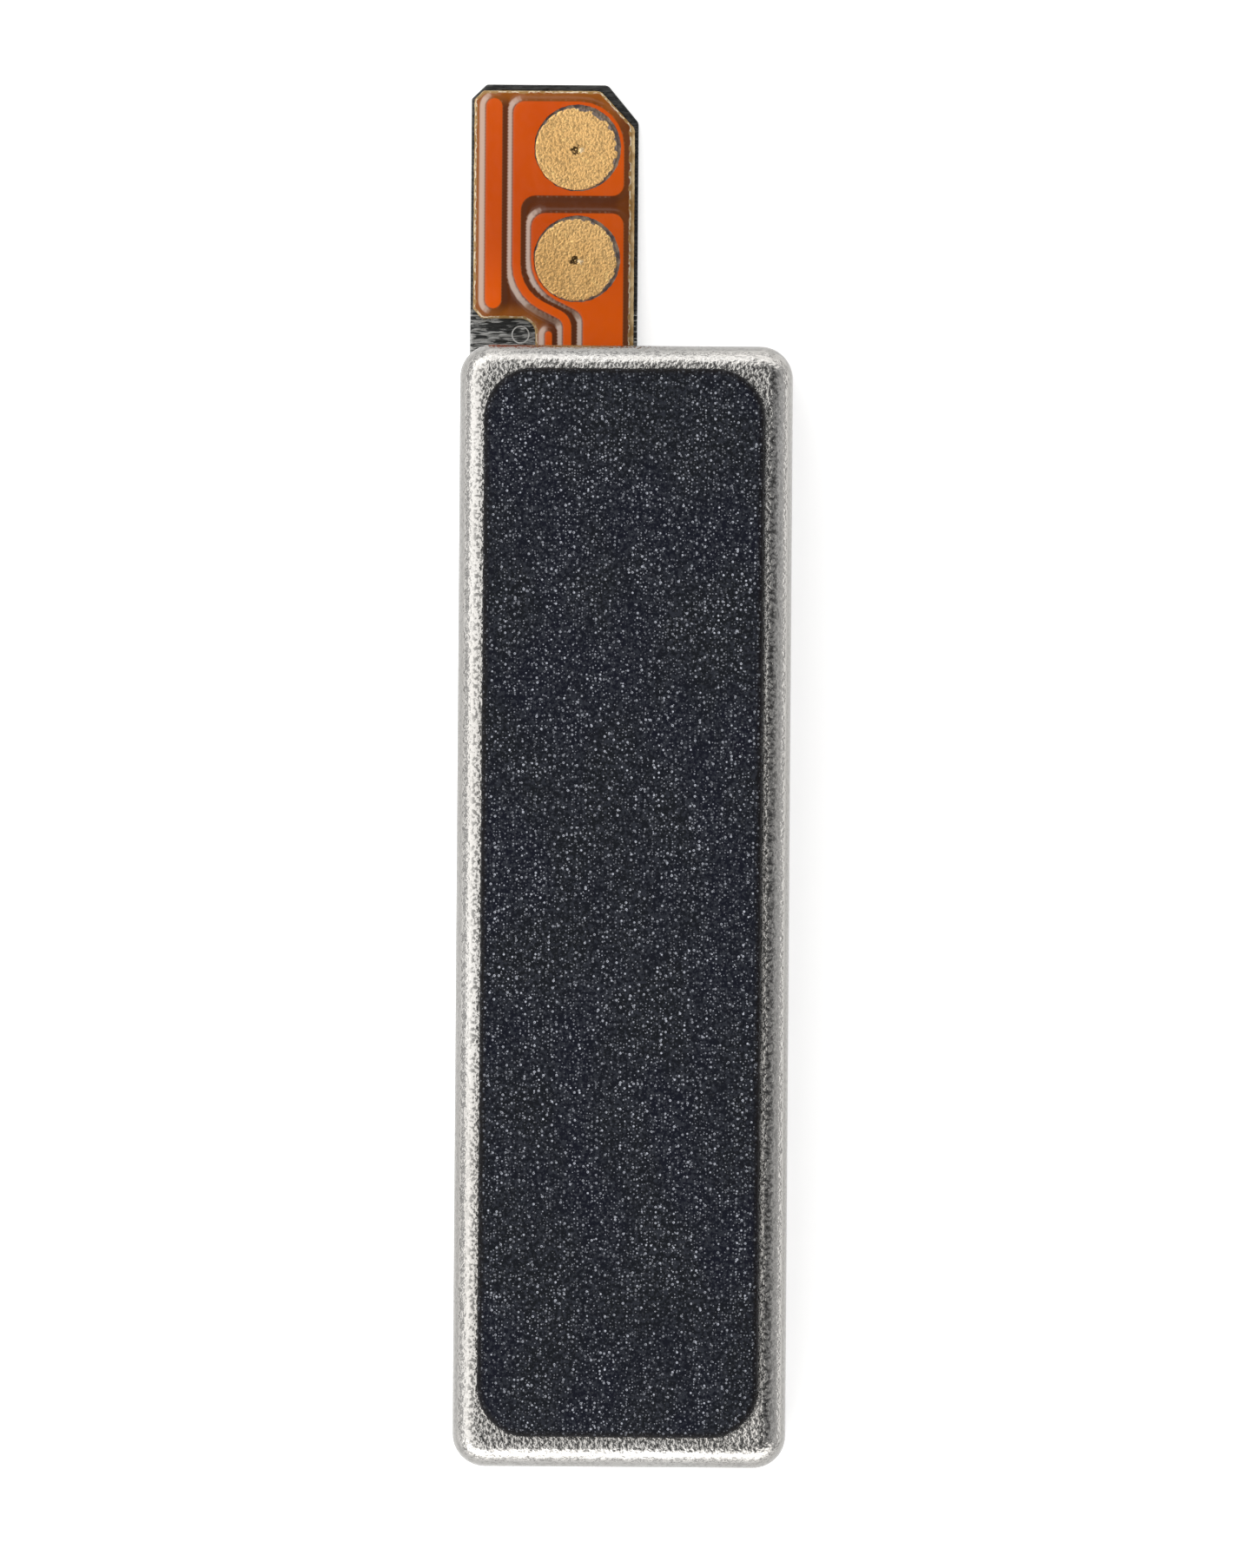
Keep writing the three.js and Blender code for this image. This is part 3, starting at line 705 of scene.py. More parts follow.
def can_rings():
    """Rings up the outside of the can and over its lid, and rings up its inside."""
    top = shell_high[2]
    outside, within = [], []
    for by, above in [(BURR, 0.0), (BURR * 0.3, BURR * 0.3), (0.0, BURR)]:
        loop, first = can_outline(by)
        outside.append(at_height(loop, rim_height(loop, first, above)))
    for a in FINE_QUARTER_TURN:
        by = EDGE * (1 - math.cos(a))
        outside.append(at_height(can_outline(by)[0], top - EDGE * (1 - math.sin(a))))
    outside.append(at_height(can_outline(EDGE + 0.04)[0], top))
    for by, above in [(SHEET - BURR, 0.0), (SHEET, BURR)]:
        loop, first = can_outline(by)
        within.append(at_height(loop, rim_height(loop, first, above)))
    for a in QUARTER_TURN:
        by = SHEET + INNER_EDGE * (1 - math.cos(a))
        z = top - SHEET - INNER_EDGE * (1 - math.sin(a))
        within.append(at_height(can_outline(by)[0], z))
    return outside, within


# %% The can's steel
STAINLESS_GRAIN = (19.0, 19.0, 19.0)
stainless = metal_finish(
    "etched stainless",
    colour=(0.58, 0.565, 0.54),
    tint=(0.63, 0.62, 0.60),
    roughness=0.22,
    grain=STAINLESS_GRAIN,
    depth=12.5,
    spread=0.05,
    pits=0.22,
    patches=(0.5, 0.2, 0.5),
    rub_and_painted_sheen=True,
)
tree, shader, sheet_colour = reopened(stainless)
height = millimetre_axes(tree)["Z"]
gritty = use(tree, grain_group, Per_Millimetre=STAINLESS_GRAIN)["Height"]
on_lid = between(tree, height, shell_high[2] - 0.03, shell_high[2] - 0.004)
grit = maths(tree, "MULTIPLY", between(tree, gritty, 0.41, 0.52, 0.6, 0.0), on_lid)
lid_colour = blended(tree, grit, sheet_colour, (0.02, 0.02, 0.02, 1))
# Painted shade: the colour falls to half on the walls below the lid's edge.
painted_wall_shade = between(tree, height, shell_high[2] - 0.14, shell_high[2] - 0.025, 0.5, 1.0)
feed(tree, shader.inputs["Base Color"], shaded(tree, painted_wall_shade, lid_colour))
print("can finish:", len(tree.nodes), "nodes")

# %% The can's mesh
outside, within = can_rings()
rings = within[::-1] + outside
count = len(rings[0])
can = make_piece(
    "drawn_can",
    np.concatenate(rings),
    loft_faces(len(rings), count),
    stainless,
    "case",
)
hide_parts("case_shell")
print("can:", len(rings), "rings of", count, "points")


# %% [markdown]
# ## The base plate and its tongue
#
# The base is stamped from darker, harder steel, and its tongue carries the flex. Shears leave a small
# rollover on one side, so a slab with eased edges fits. The tongue was brushed across before the flex was
# stuck on. Brushing is the same grain as on the can, stretched along the strokes, and shows as dark
# scratches on the bare corner beside the neck. Past that corner the upper side is painted almost black:
# painted shade for the dark margin round the flex.

# %% The base plate's steel
BARE_END = 8.2  # the bare corner of the tongue runs from the case to here
dark_steel = metal_finish(
    "dark rolled steel",
    colour=(0.28, 0.28, 0.275),
    tint=(0.38, 0.38, 0.37),
    roughness=0.34,
    grain=(5.0, 36.0, 36.0),
    depth=12.0,
    spread=0.1,
    pits=0.3,
    patches=(0.4, 1.2, 1.0),
)
tree, shader, rolled_colour = reopened(dark_steel)
place = millimetre_axes(tree)
upper_side = between(tree, place["Z"], 0.16, 0.19)
# Painted shade: past the bare corner the upper side is painted almost black.
painted_margin_shade = between(tree, place["Y"], BARE_END - 0.05, BARE_END + 0.15, 0.0, 0.86)
scratches = use(tree, grain_group, Per_Millimetre=(5.0, 38.0, 38.0))["Height"]
scratched = between(tree, scratches, 0.47, 0.55, 0.96, 0.0)
scratches_and_painted_shade = maths(tree, "MULTIPLY", maths(tree, "MAXIMUM", painted_margin_shade, scratched), upper_side)
plate_colour = blended(tree, scratches_and_painted_shade, rolled_colour, (0.03, 0.031, 0.031, 1))
feed(tree, shader.inputs["Base Color"], plate_colour)
print("base finish:", len(tree.nodes), "nodes")

# %% The base plate's mesh
base_loop = resampled(flat_loops("base_plate")[0], 0.2)
base_low, base_high = box_mm("base_plate")
base = slab("stamped_base", base_loop, base_low[2], base_high[2], 0.025, dark_steel)
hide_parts("base_plate")
print("base plate outline:", len(base_loop), "points")


# %% [markdown]
# ## The foam pad
#
# The pad is a strip of microcellular foam, die-cut and stuck to the lid. It could be a plain block with a
# noisy texture, but foam gives itself away at its cut edge: the corner is soft, and open bubbles nibble at
# it. So it is a skin whose height rolls off near the border and dips into shallow pits, and the material
# adds the cells. Each cell's rim is painted as a tiny pale ring, a painted highlight for the light it
# catches. Most are faint, and a few are bright.

# %% The foam pad's shape
foam_low, foam_high = box_mm("cover_pad")
FOAM_ROLL = 0.07  # how far the cut edge rolls over
FOAM_PIT = 0.007  # how deep the opened bubbles dip
FOAM_WAVE = 0.004  # how deep the surface sags between them


def foam_outline():
    """The die-cut outline, with the small nibbles that opened bubbles leave."""
    size = foam_high - foam_low
    middle = (foam_high + foam_low)[:2] / 2
    loop = resampled(rounded_rectangle(middle, size[0] - 0.01, size[1] - 0.01, 0.7, 20), 0.045)
    return inset(loop, 0.012 + 0.012 * rough(loop, 0.05, 3) + 0.006 * rough(loop, 0.4, 5))


foam_loops = [foam_outline()]


def foam_height(points):
    near = np.minimum(distance(points, foam_loops), FOAM_ROLL)
    roll = FOAM_ROLL - np.sqrt(FOAM_ROLL**2 - (FOAM_ROLL - near) ** 2)
    pits = FOAM_PIT * (0.5 + 0.5 * rough(points, 0.07, 1))
    waves = FOAM_WAVE * (0.5 + 0.5 * rough(points, 1.1, 2))
    return foam_high[2] - roll - (pits + waves)


# %% The foam
foam, tree, shader = start_finish("microcell foam", roughness=0.6, Specular_IOR_Level=0.1)
bubble = use(tree, cells_group, Per_Millimetre=(16.0, 16.0, 16.0))
small_bubble = use(tree, cells_group, Per_Millimetre=(26.0, 26.0, 26.0))
clear = between(tree, stored(tree, "from_cut"), 0.02, 0.11, 0.3, 1.0)
tone = use(tree, patches_group, Per_Millimetre=(1.3, 0.7, 1.0))["Tone"]
bright_cell = between(tree, bubble["Chance"], 0.25, 1.0, 0.05, 1.0)
ring = maths(tree, "MULTIPLY", bubble["Ring"], bright_cell)
bright_speck = between(tree, small_bubble["Chance"], 0.2, 1.0, 0.03, 0.6)
speck = maths(tree, "MULTIPLY", small_bubble["Ring"], bright_speck)
streak = use(tree, patches_group, Per_Millimetre=(7.0, 0.5, 1.0))["Tone"]
# Painted highlight: pale rings on the cell rims, for the light that those rims catch.
painted_glint_share = maths(tree, "MULTIPLY", maths(tree, "MAXIMUM", ring, speck), clear)
painted_glint_share = maths(tree, "MULTIPLY", painted_glint_share, between(tree, streak, 0.0, 1.0, 0.7, 1.1))
body_colour = blended(tree, tone, (0.0035, 0.0044, 0.0105, 1), (0.0048, 0.006, 0.0088, 1))
mottle = use(tree, grain_group, Per_Millimetre=(21.0, 21.0, 21.0))["Height"]
body_colour = blended(tree, between(tree, mottle, 0.45, 0.64), body_colour, (0.019, 0.0215, 0.029, 1))
body_colour = blended(tree, clear, (0.006, 0.0045, 0.0035, 1), body_colour)
foam_colour = blended(tree, painted_glint_share, body_colour, (0.50, 0.525, 0.59, 1))
feed(tree, shader.inputs["Base Color"], foam_colour)
cell_height = maths(tree, "ADD", bubble["Height"], maths(tree, "MULTIPLY", small_bubble["Height"], 0.4))
bump(tree, shader, cell_height, 9.0)
print("foam finish:", len(tree.nodes), "nodes")

# %% The foam pad's mesh
pad = skin(
    "foam_pad",
    foam_loops,
    foam_height,
    foam_low[2],
    foam,
    step=0.05,
    rings=(0.015, 0.035, 0.06),
    values={"from_cut": lambda points: distance(points, foam_loops)},
)
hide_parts("cover_pad")


# %% [markdown]
# ## The cover film
#
# The cover film is an amber sheet pressed over copper about as thick as itself. Over copper it looks
# orange, because light comes back off the metal. Between, it looks brown. Where it steps down from the
# copper it makes a soft glossy slope, and that slope is what shows the traces as raised.
#
# Along the left side of each trace, the side that faces the broad left panel, the slope gets a glossy coat
# and is painted a paler tan: a painted highlight, so the left slopes shine and the right ones stay dark.
# Near the case the orange is painted a little stronger: painted light that makes up for the case's shade.
#
# Painting the pattern would need an image. Instead each point of the skin stores how far it is from the
# copper, measured from the copper's own outline. The height function turns that distance into the slope,
# and the material turns the same number into the change of colour, so the two can't drift apart.

# %% The cover film's shape
film_low, film_high = box_mm("flex_coverlay")
COPPER_NODES = ["trace_guard", "trace_stub", "trace_outer_pad", "trace_inner_pad"]
copper_loops = [loop for name in COPPER_NODES for loop in flat_loops(name)]
film_right = cover_loops[0][cover_loops[0][:, 1] > CASE_LENGTH / 2, 0].max()
FILM_SHORT = 0.04  # the film was cut this much short on the right, where the straw film under it shows
RELIEF = 0.032  # how far the film steps down between the traces
SLOPE = 0.11  # the width of that step
FULL_BURR = 0.018  # an edge cut back by this much or more carries its whole burr
WINDOW_SLIP = np.array([0.015, 0.014])  # the film was laid a little right of the copper, and further out


def from_copper(points):
    """Distance from the copper's edge: above 0 outside it, below 0 over it."""
    away = distance(points, copper_loops)
    return np.where(inside(points, copper_loops), -away, away)


def frayed(loop, depth, seed):
    """A punched edge, cut back by depth, with a fine burr that never grows past the outline."""
    burr = 0.010 * rough(loop, 0.03, seed) + 0.008 * rough(loop, 0.11, seed + 1)
    return inset(loop, np.maximum(depth + burr * min(1, np.max(depth) / FULL_BURR), 0))


def cover_outlines():
    """The film's border, and its windows, slipped a little off the gold and opened a little wider."""
    finer = resampled(cover_loops[0], 0.025)
    on_right = np.clip((finer[:, 0] - film_right) / 0.06 + 1, 0, 1)
    on_right *= np.clip((finer[:, 1] - CASE_LENGTH / 2) / 0.1 + 1.5, 0, 1)
    tab_edge = frayed(finer, FULL_BURR + FILM_SHORT * on_right, 7)
    windows = []
    for loop in cover_loops[1:]:
        finer = resampled(loop, 0.03)
        if np.ptp(loop[:, 0]) > 0.8:
            finer = inset(finer + WINDOW_SLIP, 0.006 + 0.009 * rough(finer, 0.07, 9))
        windows.append(finer)
    return [tab_edge, *windows]


film_loops = cover_outlines()


def film_height(points):
    step = np.clip(from_copper(points) / SLOPE, 0, 1)
    slope = step * step * (3 - 2 * step)
    border = np.clip(distance(points, film_loops[:1]) / 0.04, 0, 1)
    hang = 0.008 * (1 - border) ** 2
    return film_high[2] - RELIEF * slope - hang + 0.0012 * rough(points, 0.5, 4)


# %% The cover film's finish
amber, tree, shader = start_finish("amber cover film", roughness=0.12, Specular_IOR_Level=0.3)
shader.inputs["Coat IOR"].default_value = 2.1
shader.inputs["Coat Roughness"].default_value = 0.12
copper_gap = stored(tree, "from_copper")
border_gap = stored(tree, "from_border")
tone = use(tree, patches_group, Per_Millimetre=(0.7, 0.5, 1.0))["Tone"]
tooth = use(tree, grain_group, Per_Millimetre=(9.0, 9.0, 9.0))
orange = blended(tree, tone, (0.56, 0.072, 0.003, 1), (0.62, 0.09, 0.0045, 1))
place = millimetre_axes(tree)
# Painted light: the orange brightens towards the case, to make up for the shade the case casts.
painted_light_near_case = between(tree, place["Y"], 8.0, 9.4, 1.0, 0.0)
orange = blended(tree, painted_light_near_case, orange, (0.80, 0.112, 0.002, 1))
near_border = between(tree, border_gap, 0.04, 0.24, 1.0, 0.0)
on_left = between(tree, place["X"], -0.3, 0.0, 1.0, 0.2)
amber_share = maths(tree, "MULTIPLY", near_border, on_left)
brown = blended(tree, amber_share, (0.115, 0.029, 0.007, 1), (0.27, 0.078, 0.0095, 1))
over = between(tree, copper_gap, -0.012, 0.008, 1.0, 0.0)
film_colour = blended(tree, over, brown, orange)
ragged = maths(tree, "ADD", border_gap, between(tree, tooth["Height"], 0.3, 0.7, -0.012, 0.012))
fray = between(tree, ragged, 0.008, 0.028, 1.0, 0.0)
thread = between(tree, tooth["Height"], 0.42, 0.58)
cream = blended(tree, thread, (0.34, 0.19, 0.06, 1), (0.88, 0.78, 0.58, 1))
feed(tree, shader.inputs["Roughness"], between(tree, tooth["Height"], 0.3, 0.7, 0.08, 0.15))
bend_start = between(tree, copper_gap, -0.012, 0.03)
bend_end = between(tree, copper_gap, 0.075, 0.1, 1.0, 0.0)
bend = maths(tree, "MULTIPLY", bend_start, bend_end)
# Painted highlight: the left slopes get a coat and a paler tan, the right ones neither.
coat_and_painted_sheen = maths(tree, "MULTIPLY", bend, stored(tree, "painted_sheen_side"))
feed(tree, shader.inputs["Coat Weight"], coat_and_painted_sheen)
film_colour = blended(tree, maths(tree, "MULTIPLY", coat_and_painted_sheen, 0.6), film_colour, (0.50, 0.31, 0.2, 1))
feed(tree, shader.inputs["Base Color"], blended(tree, fray, film_colour, cream))
bump(tree, shader, tooth["Height"], 0.8)
print("film finish:", len(tree.nodes), "nodes")

# %% The cover film's mesh
film = skin(
    "cover_film",
    film_loops,
    film_height,
    film_low[2],
    amber,
    step=0.026,
    rings=(0.012, 0.026),
    values={
        "from_copper": from_copper,
        "from_border": lambda points: distance(points, film_loops[:1]),
        "painted_sheen_side": lambda points: leftness(points, copper_loops),
    },
)
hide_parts("flex_coverlay")


# %% [markdown]
# ## The base film
#
# Under the cover film lies the flex circuit's base film. Only its cut edge shows, as a thin straw-coloured
# line round the tab, so it gets the same frayed outline a little further out, and a colour of its own.

# %% Base film
under_low, under_high = box_mm("flex_film")
straw = metal_finish(
    "straw base film",
    colour=(0.74, 0.56, 0.30),
    tint=(0.42, 0.24, 0.07),
    roughness=0.5,
    grain=(24.0, 24.0, 24.0),
    depth=5.0,
    patches=(6.0, 6.0, 6.0),
)
reopened(straw)[1].inputs["Metallic"].default_value = 0.0
base_film_loop = frayed(resampled(flat_loops("flex_film")[0], 0.035), 0.006, 21)
base_film = slab("base_film", base_film_loop, under_low[2], under_high[2], 0.006, straw, steps=2)
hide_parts("flex_film")
print("base film outline:", len(base_film_loop), "points")


# %% [markdown]
# ## The gold contact pads
#
# A spring contact of the device presses on each pad. Electroplated gold on etched copper is matt and finely
# grained, and the test probe has left a small dimple in the middle, coloured dark brown, with a low raised
# lip round it. A bright spot just right of the dimple is a painted highlight, where the lip would catch the
# light. Where the film's window was laid askew, a crescent of each pad stayed covered during plating and is
# dull grey. The dimple is real geometry, so it shades properly from any side. The grain is partly geometry
# and partly bump.

# %% Gold, and the dulled copper round it
gold = metal_finish(
    "matt gold plating",
    colour=(0.88, 0.555, 0.225),
    tint=(0.80, 0.485, 0.185),
    roughness=0.46,
    grain=(31.0, 31.0, 31.0),
    depth=14.0,
    spread=0.06,
    pits=0.28,
    patches=(1.5, 1.5, 1.5),
    rub_and_painted_sheen=True,
)
tree, shader, clean_gold = reopened(gold)
speckle = use(tree, grain_group, Per_Millimetre=(30.0, 30.0, 30.0))["Height"]
blotch = use(tree, grain_group, Per_Millimetre=(11.0, 11.0, 11.0))["Height"]


def ragged_gap(name, unevenness, by):
    """A stored distance whose every contour wanders by so many millimetres to either side."""
    return maths(tree, "ADD", stored(tree, name), between(tree, unevenness, 0.35, 0.65, -by, by))


# The dimple in the middle is coloured dark brown.
dark_dimple_share = between(tree, ragged_gap("from_dimple", speckle, 0.026), 0.046, 0.072, 0.93, 0.0)
# Painted highlight: a bright spot right of the dimple, where the lip would catch the light.
painted_lip_glint = between(tree, ragged_gap("from_painted_glint", speckle, 0.014), 0.02, 0.045, 0.8, 0.0)
dull = between(tree, ragged_gap("from_window", blotch, 0.024), -0.006, 0.006, 0.0, 0.9)
gold_colour = blended(tree, dark_dimple_share, clean_gold, (0.035, 0.018, 0.008, 1))
gold_colour = blended(tree, painted_lip_glint, gold_colour, (1.0, 0.80, 0.52, 1))
gold_colour = blended(tree, dull, gold_colour, (0.17, 0.15, 0.155, 1))
feed(tree, shader.inputs["Base Color"], gold_colour)
print("gold finish:", len(tree.nodes), "nodes")

tarnish = metal_finish(
    "tarnished rim",
    colour=(0.12, 0.10, 0.10),
    tint=(0.34, 0.27, 0.20),
    roughness=0.45,
    grain=(22.0, 22.0, 22.0),
    depth=6.0,
    patches=(9.0, 9.0, 9.0),
)

# %% The gold pads' mesh
DIMPLE_OFFSET = np.array([-0.012, -0.008])  # the probe came down a little off the middle
PAINTED_GLINT_OFFSET = np.array([0.078, -0.012])  # and a highlight is painted on this side of its dimple


def gold_pad(name, seed, slip):
    """One plated pad. slip is how far the film's window lay off it during plating."""
    low, high = box_mm(name)
    middle, radius = ((low + high) / 2)[:2], (high[0] - low[0]) / 2
    edge = circle(middle, radius, 150)
    edge = inset(edge, 0.005 + 0.005 * rough(edge, 0.04, seed))
    dimple_at = middle + DIMPLE_OFFSET

    def height(points):
        out = np.linalg.norm(points - middle, axis=1)
        to_dimple = np.linalg.norm((points - dimple_at) * np.array([1.0, 1.15]), axis=1)
        dish = 0.006 * (out / radius) ** 2
        hole = 0.022 * np.exp(-((to_dimple / 0.034) ** 2))
        lip = 0.004 * np.exp(-(((to_dimple - 0.07) / 0.025) ** 2))
        eased = 0.006 * np.clip(1 - (radius - out) / 0.02, 0, 1) ** 2
        tooth = 0.0022 * rough(points, 0.03, seed) + 0.001 * rough(points, 0.015, seed + 1)
        return high[2] - 0.010 + dish + lip - hole - eased + tooth

    face = skin(
        name.replace("contact_pad", "gold_pad"),
        [edge],
        height,
        low[2] + 0.001,
        gold,
        step=0.0145,
        rings=(0.008,),
        values={
            "from_dimple": lambda points: np.linalg.norm(points - dimple_at, axis=1),
            "from_painted_glint": lambda points: np.linalg.norm(points - dimple_at - PAINTED_GLINT_OFFSET, axis=1),
            "from_window": lambda points: np.linalg.norm(points - middle + slip, axis=1) - radius,
        },
    )
    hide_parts(name)
    return middle, radius, low[2]


def rim(name, middle, radius, top):
    """The bare copper round a gold pad, dulled where the film's window leaves it open."""
    outer = circle(middle, radius + 0.055, 96)
    inner = circle(middle, radius - 0.02, 96)[::-1]
    skin(name, [outer, inner], lambda points: top - 0.001, top - 0.0035, tarnish)


for which, seed, slip in [("outer", 31, (0.026, 0.028)), ("inner", 41, (0.010, 0.002))]:
    middle, radius, bottom = gold_pad(f"contact_pad_{which}", seed, np.array(slip))
    rim(f"pad_rim_{which}", middle, radius, bottom)


# %% [markdown]
# ## The witness mark
#
# A tool left a plain ring on the bare corner of the tongue. It is as thin as ink, so it is a narrow ring of
# film lying on the steel.

# %% Witness mark
mark_white, tree, shader = start_finish("lightened mark", roughness=0.6)
mark_tone = use(tree, grain_group, Per_Millimetre=(20.0, 20.0, 20.0))["Height"]
mark_colour = blended(tree, mark_tone, (0.30, 0.30, 0.29, 1), (0.75, 0.75, 0.73, 1))
feed(tree, shader.inputs["Base Color"], mark_colour)
MARK_MIDDLE = np.array([-1.48, 7.93])
MARK_RADII = (0.125, 0.108)
MARK_DEPTH = 0.002
mark_loops = [circle(MARK_MIDDLE, MARK_RADII[0], 64), circle(MARK_MIDDLE, MARK_RADII[1], 64)[::-1]]
mark_top, mark_bottom = base_high[2] + MARK_DEPTH, base_high[2] - MARK_DEPTH
skin("witness_mark", mark_loops, lambda points: mark_top, mark_bottom, mark_white)


# %% [markdown]
# ## The coil
#
# The coil is about a hundred turns of enamelled wire, baked into a flat racetrack. Modelling each turn as
# its own curve would give a hundred pieces that nobody can tell apart. The winding's section is a stack of
# round wires, so the section's outline is scalloped, one bulge for each wire, and swept once round the
# racetrack.

# %% The coil's shape
coil_low, coil_high = box_mm("voice_coil")
WIRE = 0.07
COIL_BUILD = 1.27  # the winding's width, from its inner turn to its outer one
COIL_RADIUS = 1.4
COIL_INNER_RADIUS = 0.13


def winding_section(width, height):
    """The scalloped outline of the stacked turns: offsets across the winding, and heights."""
    points = []
    across, up = round(width / WIRE), round(height / WIRE)
    corners = [(0, 0), (width, 0), (width, height), (0, height)]
    for (x0, z0), (x1, z1), wires in zip(corners, corners[1:] + corners[:1], [across, up, across, up]):
        for w in range(wires):
            for k in range(6):
                share = (w + k / 6) / wires
                sink = 0.22 * WIRE * (1 - math.sin(math.pi * k / 6))
                x, z = x0 + (x1 - x0) * share, z0 + (z1 - z0) * share
                points.append((x - sink * np.sign(z1 - z0), z + sink * np.sign(x1 - x0)))
    return points


def wound_coil():
    """The section swept round the racetrack, and the faces that join it to itself."""
    size = coil_high - coil_low
    middle = (coil_high + coil_low)[:2] / 2
    rings = []
    for by, z in winding_section(COIL_BUILD, size[2]):
        radius = max(COIL_RADIUS - by, COIL_INNER_RADIUS)
        loop = rounded_rectangle(middle, size[0] - 2 * by, size[1] - 2 * by, radius, 18)
        rings.append(at_height(loop, coil_low[2] + z))
    return np.concatenate(rings), loft_faces(len(rings), len(rings[0]), closed=True)


# %% The wire's finish and the coil's mesh
enamel, tree, shader = start_finish("enamelled copper", metallic=0.85, roughness=0.28, Coat_Weight=0.6)
turn_tone = use(tree, patches_group, Per_Millimetre=(3.0, 1.2, 6.0))["Tone"]
wire_colour = blended(tree, turn_tone, (0.50, 0.15, 0.045, 1), (0.62, 0.22, 0.07, 1))
feed(tree, shader.inputs["Base Color"], wire_colour)
wire_grain = use(tree, grain_group, Per_Millimetre=(9.0, 9.0, 9.0))["Height"]
feed(tree, shader.inputs["Roughness"], between(tree, wire_grain, 0.3, 0.7, 0.22, 0.36))
bump(tree, shader, wire_grain, 1.5)

coil_points, coil_faces = wound_coil()
coil = make_piece("wound_coil", coil_points, coil_faces, enamel, "case")
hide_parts("voice_coil")
print("coil:", len(coil_points), "points,", round(COIL_BUILD / WIRE), "turns side by side")


# %% [markdown]
# ## Leaf springs and dampers
#
# The two springs bend when the mass moves: one end of each stays with the case, and the other goes with the
# mass. A rigid piece would tear off at one end. Here each strip and the foam wedge in its bend are plain
# slabs of their own, on no body. The outlines come from the frame, with points no more than 0.12 mm apart.

# %% Spring steel and damping foam
SPRING_ENDS = {1: "front", -1: "rear"}
spring_steel = metal_finish(
    "rolled spring steel",
    colour=(0.56, 0.56, 0.55),
    tint=(0.62, 0.61, 0.59),
    roughness=0.24,
    grain=(5.0, 5.0, 40.0),
    depth=2.0,
    patches=(1.5, 1.5, 1.5),
)
damping_foam, tree, shader = start_finish("damping foam", roughness=0.8)
pores = use(tree, cells_group, Per_Millimetre=(8.0, 8.0, 8.0))
pore_colour = blended(tree, pores["Ring"], (0.03, 0.03, 0.033, 1), (0.10, 0.10, 0.105, 1))
feed(tree, shader.inputs["Base Color"], pore_colour)
bump(tree, shader, pores["Height"], 14.0)
print("finishes:", spring_steel.name, "and", damping_foam.name)


# %% Springs and dampers
def bending_piece(name, replaced, ease, material):
    """A slab with eased edges on a frame node's outline, put in place of that node, which it hides, on no
    body.
    """
    low, high = box_mm(replaced)
    loop = resampled(flat_loops(replaced)[0], 0.12)
    piece = slab(name, loop, low[2], high[2], ease, material, steps=2, body=None)
    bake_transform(piece)
    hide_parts(replaced)
    return piece


for end, which in SPRING_ENDS.items():
    strip_name, wedge_name = f"v_spring_{which}", f"foam_wedge_{which}"
    bending_piece(strip_name, f"leaf_spring_{which}", 0.012, spring_steel)
    wedge = bending_piece(wedge_name, f"foam_damper_{which}", 0.05, damping_foam)


# %% [markdown]
# ## The parts whose shape is already right
#
# Magnets, mass, pole plate, stops, keepers, copper traces, wire ends, solder and glue films are simple
# solids, and the CAD shape is the real shape but for one thing: its edges are perfectly sharp. On the
# thicker ones a Bevel modifier breaks them without touching the mesh underneath. Each then needs only its
# finish.

# %% Finishes inside the case
sintered = metal_finish(
    "sintered tungsten",
    colour=(0.26, 0.26, 0.27),
    tint=(0.32, 0.315, 0.31),
    roughness=0.45,
    grain=(12.0, 12.0, 12.0),
    depth=6.0,
)
nickel = metal_finish(
    "nickel plating",
    colour=(0.58, 0.55, 0.50),
    tint=(0.63, 0.60, 0.55),
    roughness=0.2,
    grain=(7.0, 7.0, 7.0),
    depth=1.5,
    spread=0.05,
)
pole_steel = metal_finish(
    "plated pole steel",
    colour=(0.42, 0.42, 0.43),
    tint=(0.50, 0.50, 0.50),
    roughness=0.3,
    grain=(30.0, 3.0, 30.0),
    depth=2.5,
)
foil = metal_finish(
    "rolled copper foil",
    colour=(0.72, 0.34, 0.19),
    tint=(0.62, 0.27, 0.14),
    roughness=0.34,
    grain=(4.0, 20.0, 20.0),
    depth=3.0,
)
tin = metal_finish(
    "tin solder",
    colour=(0.60, 0.60, 0.61),
    tint=(0.52, 0.52, 0.53),
    roughness=0.22,
    grain=(10.0, 10.0, 10.0),
    depth=3.0,
)


# %% Rubber and glues
def soft_finish(name, dark, light, roughness, grain, depth):
    """A rubber or a glue: dull, with a slight tone and tooth."""
    material, tree, shader = start_finish(name, roughness=roughness)
    tooth = use(tree, grain_group, Per_Millimetre=grain)
    tone = use(tree, patches_group, Per_Millimetre=(2.0, 2.0, 2.0))["Tone"]
    feed(tree, shader.inputs["Base Color"], blended(tree, tone, (*dark, 1), (*light, 1)))
    level = between(tree, tooth["Height"], 0.3, 0.7, roughness - 0.1, roughness + 0.1)
    feed(tree, shader.inputs["Roughness"], level)
    bump(tree, shader, tooth["Height"], depth)
    return material


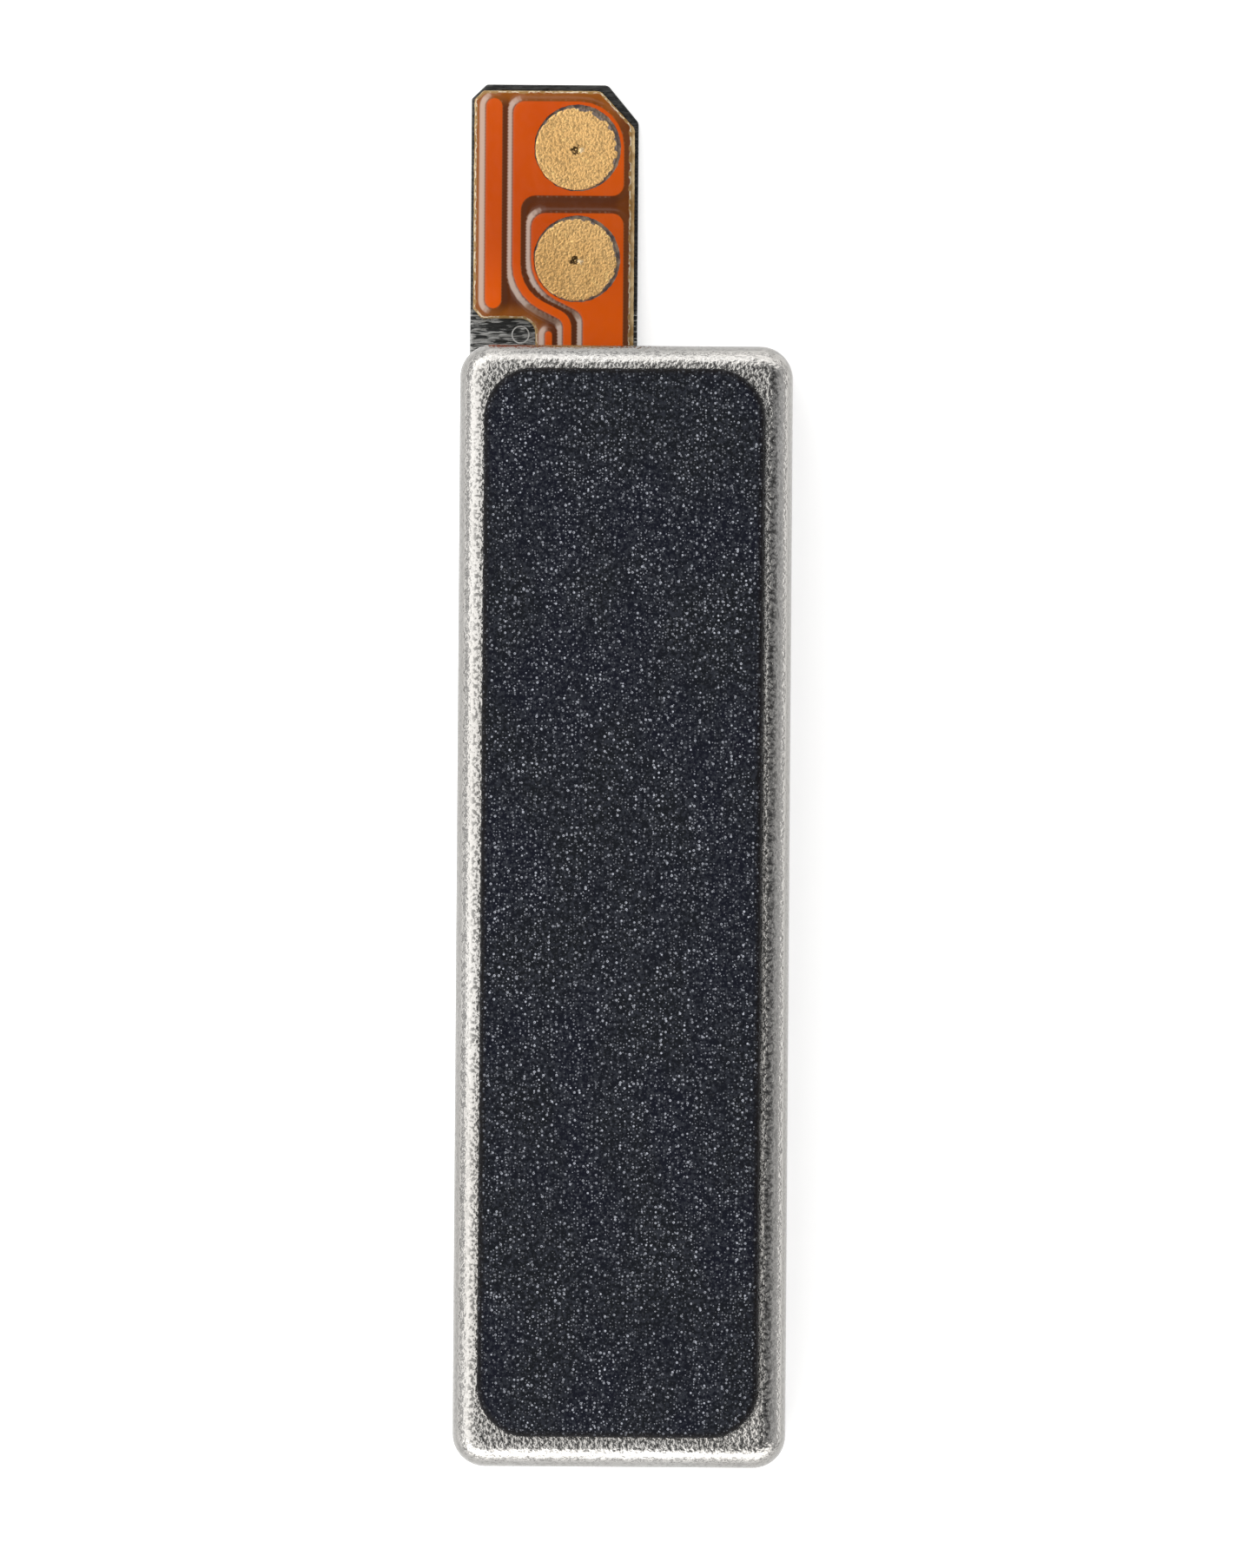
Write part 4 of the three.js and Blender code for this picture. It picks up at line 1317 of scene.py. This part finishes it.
elastomer = soft_finish("moulded elastomer", (0.022, 0.022, 0.024), (0.035, 0.035, 0.037), 0.6, (9.0,) * 3, 5)
pad_glue = soft_finish("pad adhesive", (0.05, 0.045, 0.04), (0.10, 0.085, 0.06), 0.45, (12.0,) * 3, 4.0)
flex_glue = soft_finish("flex adhesive", (0.33, 0.24, 0.10), (0.45, 0.33, 0.15), 0.45, (12.0,) * 3, 4.0)


# %% The nodes kept from the frame
def finish_node(name, material, ease=0.0):
    """Gives a CAD node its finish, and breaks its edges by ease millimetres."""
    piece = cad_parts[name]
    piece.data.materials.clear()
    piece.data.materials.append(material)
    if ease:
        edge = piece.modifiers.new("broken edges", "BEVEL")
        edge.width = ease * MM
        edge.segments = 2
        edge.limit_method = "ANGLE"
        edge.angle_limit = math.radians(50)
        edge.harden_normals = True


PLAIN_NODES = {
    "mass_block": (sintered, 0.03),
    "magnet_front": (nickel, 0.03),
    "magnet_middle": (nickel, 0.03),
    "magnet_rear": (nickel, 0.03),
    "pole_plate": (pole_steel, 0.015),
    "spring_keeper_mass_front": (spring_steel, 0.012),
    "spring_keeper_mass_rear": (spring_steel, 0.012),
    "spring_keeper_case_front": (spring_steel, 0.012),
    "spring_keeper_case_rear": (spring_steel, 0.012),
    "end_stop_front": (elastomer, 0.05),
    "end_stop_rear": (elastomer, 0.05),
    "coil_lead_start": (enamel, 0.0),
    "coil_lead_finish": (enamel, 0.0),
    "solder_joint_start": (tin, 0.0),
    "solder_joint_finish": (tin, 0.0),
    "trace_guard": (foil, 0.0),
    "trace_stub": (foil, 0.0),
    "trace_outer_pad": (foil, 0.0),
    "trace_inner_pad": (foil, 0.0),
    "cover_pad_adhesive": (pad_glue, 0.0),
    "flex_adhesive": (flex_glue, 0.0),
}
for name, (material, ease) in PLAIN_NODES.items():
    finish_node(name, material, ease)
print("nodes kept with a new finish:", len(PLAIN_NODES))


# %% [markdown] ## Finish
